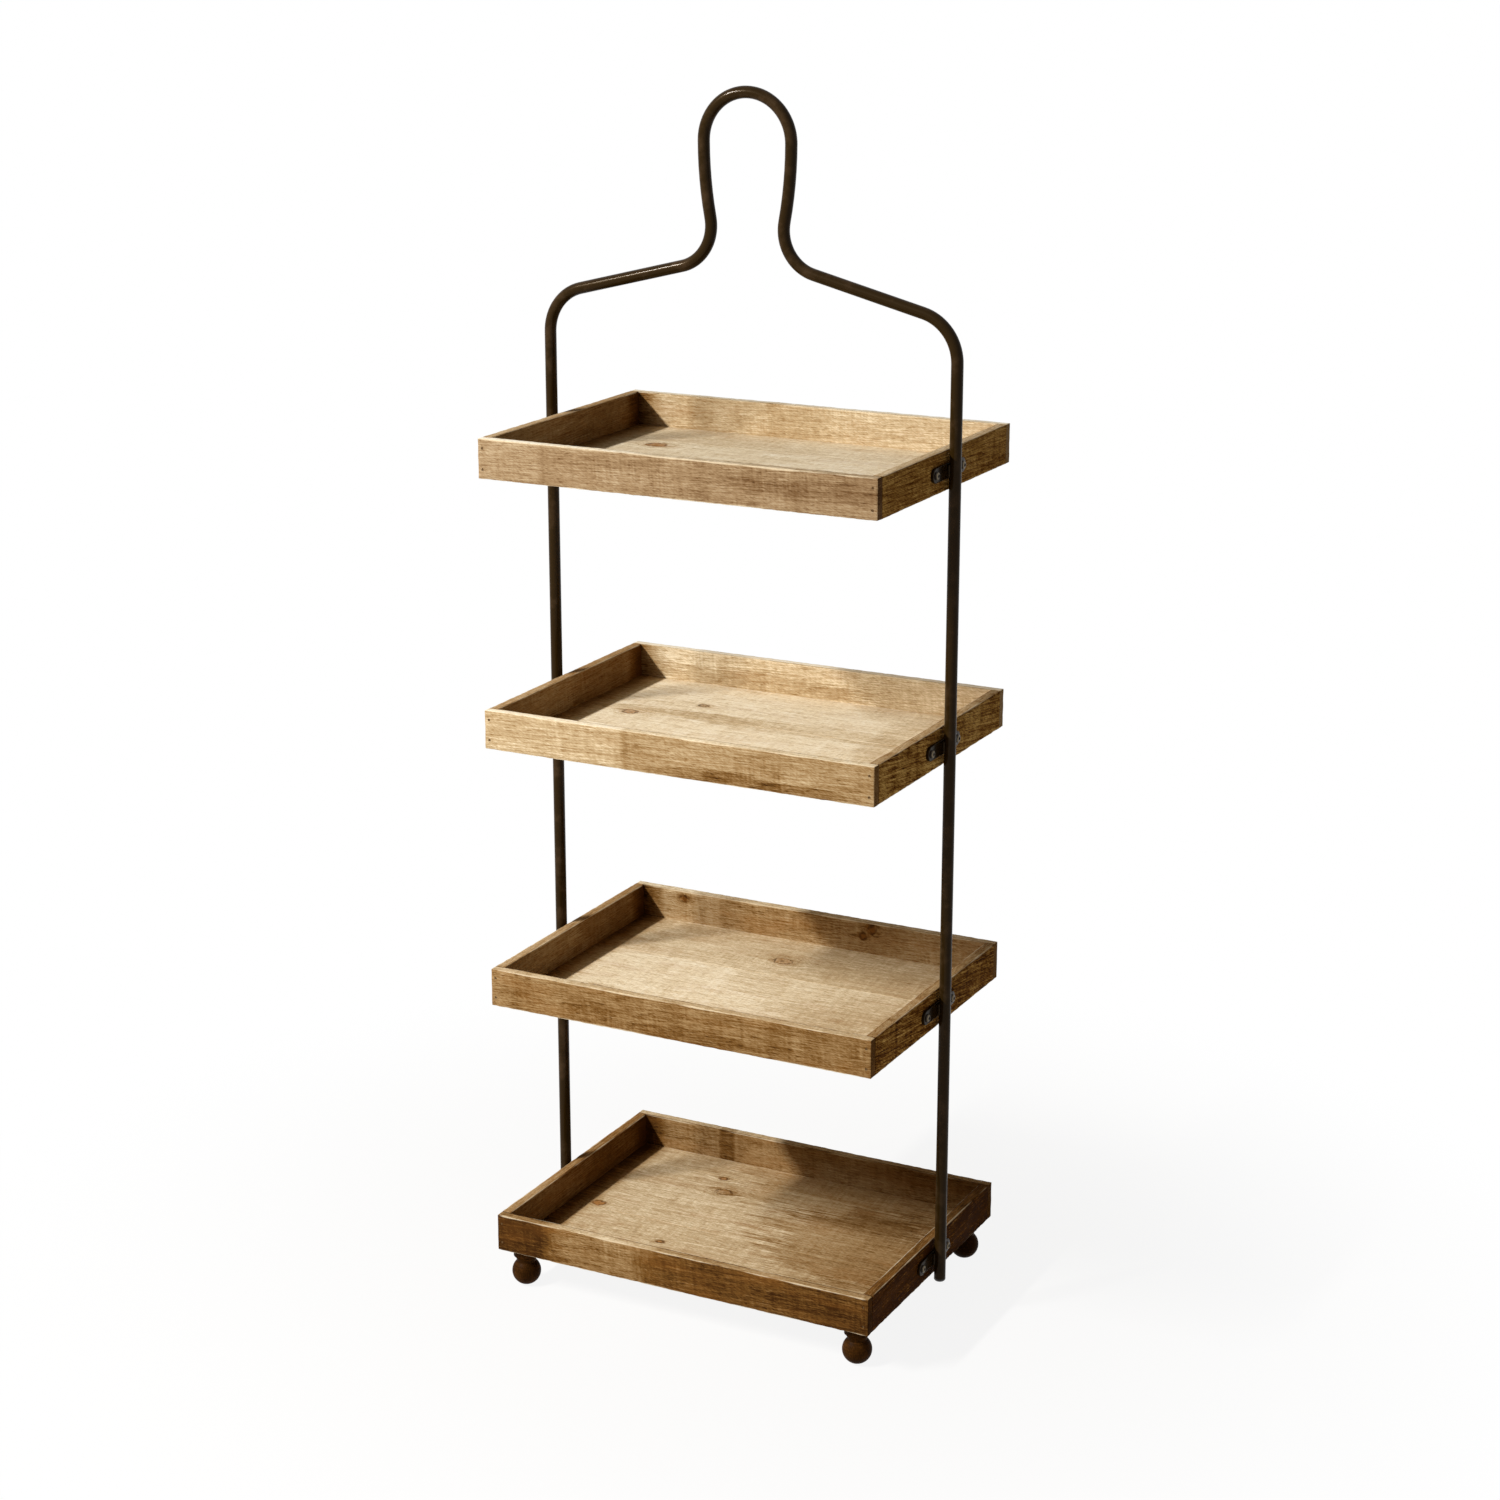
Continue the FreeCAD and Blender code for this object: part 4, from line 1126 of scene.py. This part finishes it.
class SHELF_OT_tray_floors(bpy.types.Operator):
    """Glues up the floors of the trays from strips"""

    bl_idname = "shelf.tray_floors"
    bl_label = "Tray floors"

    def execute(self, context):
        blank = board_blank("floor_blank", "bottom_tray_floor", FLOOR_AXES, (60, 2), True)
        for tray in TRAYS:
            node = f"{tray}_tray_floor"
            floor = copy_piece(blank, f"{node}_panel", middle_of(node))
            for across, _ in BOARD_LOOKS[node]["seams"]:
                open_seam(floor, across * MM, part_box(node)[1].z)
            saw_board(floor, FLOOR_AXES)
            finish_piece(floor, sawn_pine(node, FLOOR_AXES), "floor_wood", node)
        drop(blank)
        return {"FINISHED"}


class SHELF_OT_straps(bpy.types.Operator):
    """Forges the round-ended straps with their saddles and weld beads"""

    bl_idname = "shelf.straps"
    bl_label = "Straps"

    def execute(self, context):
        blank = self.strap_blank()
        for tray in TRAYS:
            for side, sign in SIDES.items():
                node = f"{tray}_tray_{side}_strap"
                strap = copy_piece(blank, f"{node}_iron", (0, 0, middle_of(node).z), half_turn=sign < 0)
                finish_piece(strap, powder_coat(), "strap_paint", node)
        drop(blank)
        return {"FINISHED"}

    def strap_blank(self):
        """Models the right strap at its own height above the origin."""
        edge = 0.6 * MM
        screw_hole = 2.2 * MM
        low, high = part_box("bottom_tray_right_strap")
        half_height = (high.z - low.z) / 2
        reach = high.y - half_height
        tube_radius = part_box("frame_tube")[1].y
        leg_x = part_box("frame_tube")[1].x - tube_radius
        across = {"rotation": (0, math.pi / 2, 0)}
        # With 42 sides no vertex lies on the middle line, so the disc parts there and stretches to a bar.
        strap = start_piece(
            "cylinder",
            "strap_blank",
            vertices=42,
            radius=half_height,
            depth=STRAP_THICKNESS,
            location=(low.x + STRAP_THICKNESS / 2, 0, 0),
            **across,
        )
        for sign in (-1, 1):
            with editing(strap, "vertices", lambda vertex: sign * vertex.co.y > 0):
                bpy.ops.transform.translate(value=(0, sign * reach, 0))
        self.ease_face(strap, low.x + STRAP_THICKNESS, edge)
        tidy_shell(strap)
        combine(strap, self.saddle(low.x, high.x, edge), "UNION")
        for sign in (-1, 1):
            combine(strap, self.weld_bead(sign, leg_x, tube_radius), "UNION")
        overrun_share = 8
        cutter = {"vertices": 64, "radius": tube_radius, "depth": overrun_share * half_height}
        bore = start_piece("cylinder", "bore", location=(leg_x, 0, 0), **cutter)
        hole = {"vertices": 24, "radius": screw_hole, "depth": overrun_share * STRAP_THICKNESS}
        with editing(bore):
            for sign in (-1, 1):
                bpy.ops.mesh.primitive_cylinder_add(location=(low.x, sign * reach, 0), **hole, **across)
        combine(strap, bore, "DIFFERENCE")
        return strap

    def ease_face(self, piece, face_x, edge):
        """Rounds the edges round the outer face."""

        def is_outer(item):
            return min(end.x for end in edge_ends(piece, item)) > face_x - TINY

        with editing(piece, "edges", is_outer):
            bpy.ops.mesh.bevel(offset=edge, segments=3, profile=0.5, affect="EDGES")

    def saddle(self, inner_x, outer_x, edge):
        """The block that the tube lies in, on the middle of the strap."""
        width = 13 * MM
        height = 14 * MM
        place = ((inner_x + outer_x) / 2 + edge, 0, 0)
        size = (outer_x - inner_x - 2 * edge, width, height)
        saddle = start_piece("cube", "saddle", size, size=1, location=place)
        self.ease_face(saddle, max(vertex.co.x for vertex in saddle.data.vertices), 1.2 * MM)
        return saddle

    def weld_bead(self, sign, leg_x, tube_radius):
        """A row of overlapping drops that fills the corner between the saddle and the tube."""
        pitch = 1.9 * MM
        drops = [
            {
                "segments": 14,
                "ring_count": 10,
                "radius": (1.75 + 0.25 * math.sin(2.4 * (place + 3) + sign)) * MM,
                "location": (leg_x - 0.72 * tube_radius, sign * 0.84 * tube_radius, place * pitch),
            }
            for place in range(-3, 4)
        ]
        bead = start_piece("uv_sphere", "bead", **drops[0])
        with editing(bead):
            for settings in drops[1:]:
                bpy.ops.mesh.primitive_uv_sphere_add(**settings)
        apply_modifier(bead, "REMESH", mode="VOXEL", voxel_size=0.35 * MM)
        apply_modifier(bead, "SMOOTH", factor=0.5, iterations=2)
        return bead


class SHELF_OT_screws(bpy.types.Operator):
    """Turns the button-head screws and cuts their sockets"""

    bl_idname = "shelf.screws"
    bl_label = "Screws"

    def execute(self, context):
        head_radius = 4.75 * MM
        steel = worn_screw_steel(0.72 * head_radius)
        blank = self.screw_blank(head_radius)
        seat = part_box("bottom_tray_right_strap")[0].x + STRAP_THICKNESS
        for tray in TRAYS:
            for side, sign in SIDES.items():
                node = f"{tray}_tray_{side}_strap_screws"
                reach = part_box(node)[1].y - head_radius
                middle = middle_of(node).z
                pair = [
                    copy_piece(blank, f"{node}_{end}", (sign * seat, end_sign * reach, middle), sign < 0)
                    for end, end_sign in ENDS.items()
                ]
                finish_piece(join_pieces(f"{node}_pair", pair), steel, "screw_finish", node)
        drop(blank)
        return {"FINISHED"}

    def screw_blank(self, head_radius):
        """Models one screw that points along -X, with its head's seat at the origin."""
        height = 2.8 * MM
        rim = 0.7 * MM
        flat = 2.7 * MM
        eased = 0.2 * MM
        shank = 2 * MM
        length = 13 * MM
        point = 3 * MM
        tip = 0.3 * MM
        socket_width = 3.5 * MM
        socket_depth = 1.6 * MM
        dome, angle = upright_arc(height - rim, head_radius - flat)
        profile = [(tip, -length), (shank, point - length), (shank, 0)]
        profile += [(head_radius - eased, 0), (head_radius, eased)]
        profile += arc((head_radius - dome, rim), dome, 0, angle, 8)
        screw = turn_on_lathe("screw_blank", profile, 40)
        hexagon = {"vertices": 6, "radius": socket_width / math.sqrt(3), "depth": 2 * socket_depth}
        combine(screw, start_piece("cylinder", "hex_key", location=(0, 0, height), **hexagon), "DIFFERENCE")
        sharp = {"limit_method": "ANGLE", "angle_limit": math.radians(50)}
        apply_modifier(screw, "BEVEL", width=0.15 * MM, segments=2, **sharp)
        distances = screw.data.attributes.new("from_axis", "FLOAT", "POINT")
        for vertex, item in zip(screw.data.vertices, distances.data):
            item.value = math.hypot(vertex.co.x, vertex.co.y) / MM
        screw.rotation_euler = (0, math.pi / 2, 0)
        apply_place(screw)
        return screw


class SHELF_OT_brads(bpy.types.Operator):
    """Drives the corner brads just under the face of the rails, and finishes the hidden brads and bolts"""

    bl_idname = "shelf.brads"
    bl_label = "Brads and bolts"

    def execute(self, context):
        steel = drawn_steel()
        shank = 0.9 * MM
        length = 26 * MM
        point = 2 * MM
        tip = 0.2 * MM
        head = 1 * MM
        neck = 0.4 * MM
        eased = 0.15 * MM
        sink = 0.3 * MM
        profile = [(tip, -length), (shank, point - length), (shank, -head), (BRAD_HEAD, neck - head)]
        profile += [(BRAD_HEAD, -eased), (BRAD_HEAD - eased, 0)]
        blank = turn_on_lathe("brad_blank", profile, 14)
        blank.rotation_euler = (math.pi / 2, 0, 0)
        apply_place(blank)
        for tray in TRAYS:
            node = f"{tray}_tray_corner_brads"
            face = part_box(node)[1].y - sink
            brads = [
                copy_piece(blank, f"{node}_{end}", (x, sign * face, z), half_turn=sign > 0)
                for x, z in brad_places(tray)
                for end, sign in ENDS.items()
            ]
            finish_piece(join_pieces(f"{node}_driven", brads), steel, "brad_steel", node)
        drop(blank)
        for node in [f"{tray}_tray_floor_brads" for tray in TRAYS] + ["foot_bolts"]:
            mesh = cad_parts[node].data
            mesh.materials.clear()
            mesh.materials.append(steel)
        return {"FINISHED"}


class SHELF_OT_feet(bpy.types.Operator):
    """Turns the ball feet with their coves and collars"""

    bl_idname = "shelf.feet"
    bl_label = "Feet"

    def execute(self, context):
        low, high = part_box("front_left_foot")
        ball = (high.x - low.x) / 2
        flat_depth = 0.6 * MM
        neck = 11.8 * MM
        collar = 15.5 * MM
        collar_height = 11.5 * MM
        bead = 1.1 * MM
        height = high.z - low.z
        centre = ball - flat_depth
        start = -math.acos(math.sqrt(ball**2 - centre**2) / ball)
        neck_angle = math.acos(neck / ball)
        neck_z = centre + ball * math.sin(neck_angle)
        cove, cove_angle = upright_arc(height - collar_height - neck_z, collar - neck)
        profile = arc((0, centre), ball, start, neck_angle, 26)
        # The cove springs from the neck and flares to the collar, whose edges are eased.
        profile += arc((neck + cove, neck_z), cove, math.pi, math.pi - cove_angle, 8)[1:]
        profile += arc((collar - bead, height - collar_height + bead), bead, -math.pi / 3, 0, 3)
        profile += arc((collar - bead, height - bead), bead, 0, math.pi / 2, 3)
        blank = turn_on_lathe("foot_blank", profile, 56)
        beech = turned_beech()
        for end in ENDS:
            for side in SIDES:
                node = f"{end}_{side}_foot"
                middle = middle_of(node)
                foot = copy_piece(blank, f"{node}_turned", (middle.x, middle.y, 0))
                finish_piece(foot, beech, "foot_wood", node)
        drop(blank)
        return {"FINISHED"}


STEPS = (
    SHELF_OT_stage,
    SHELF_OT_frame_tube,
    SHELF_OT_leg_plugs,
    SHELF_OT_tray_rails,
    SHELF_OT_tray_floors,
    SHELF_OT_straps,
    SHELF_OT_screws,
    SHELF_OT_brads,
    SHELF_OT_feet,
)


class SHELF_PT_sidebar(bpy.types.Panel):
    """Lists the steps that dress the shelf, and its sizes and colours"""

    bl_idname = "SHELF_PT_sidebar"
    bl_label = "Tray Shelf"
    bl_space_type = "VIEW_3D"
    bl_region_type = "UI"
    bl_category = "Tray Shelf"

    def draw(self, context):
        layout = self.layout
        for step in STEPS:
            layout.operator(step.bl_idname)
        for group in (context.scene.shelf_wood, context.scene.shelf_steel, context.scene.shelf_stage):
            box = layout.box()
            for name in group.bl_rna.properties.keys():
                if name not in ("rna_type", "name"):
                    box.prop(group, name)


CLASSES = (WoodSettings, SteelSettings, StageSettings, *STEPS, SHELF_PT_sidebar)


def register():
    for item in CLASSES:
        bpy.utils.register_class(item)
    bpy.types.Scene.shelf_wood = PointerProperty(type=WoodSettings)
    bpy.types.Scene.shelf_steel = PointerProperty(type=SteelSettings)
    bpy.types.Scene.shelf_stage = PointerProperty(type=StageSettings)


def unregister():
    del bpy.types.Scene.shelf_stage
    del bpy.types.Scene.shelf_steel
    del bpy.types.Scene.shelf_wood
    for item in reversed(CLASSES):
        bpy.utils.unregister_class(item)


def main():
    """Dresses the shelf."""
    register()
    bpy.ops.shelf.stage()
    bpy.ops.shelf.frame_tube()
    bpy.ops.shelf.leg_plugs()
    bpy.ops.shelf.tray_rails()
    bpy.ops.shelf.tray_floors()
    bpy.ops.shelf.straps()
    bpy.ops.shelf.screws()
    bpy.ops.shelf.brads()
    bpy.ops.shelf.feet()


if __name__ == "__main__":
    main()
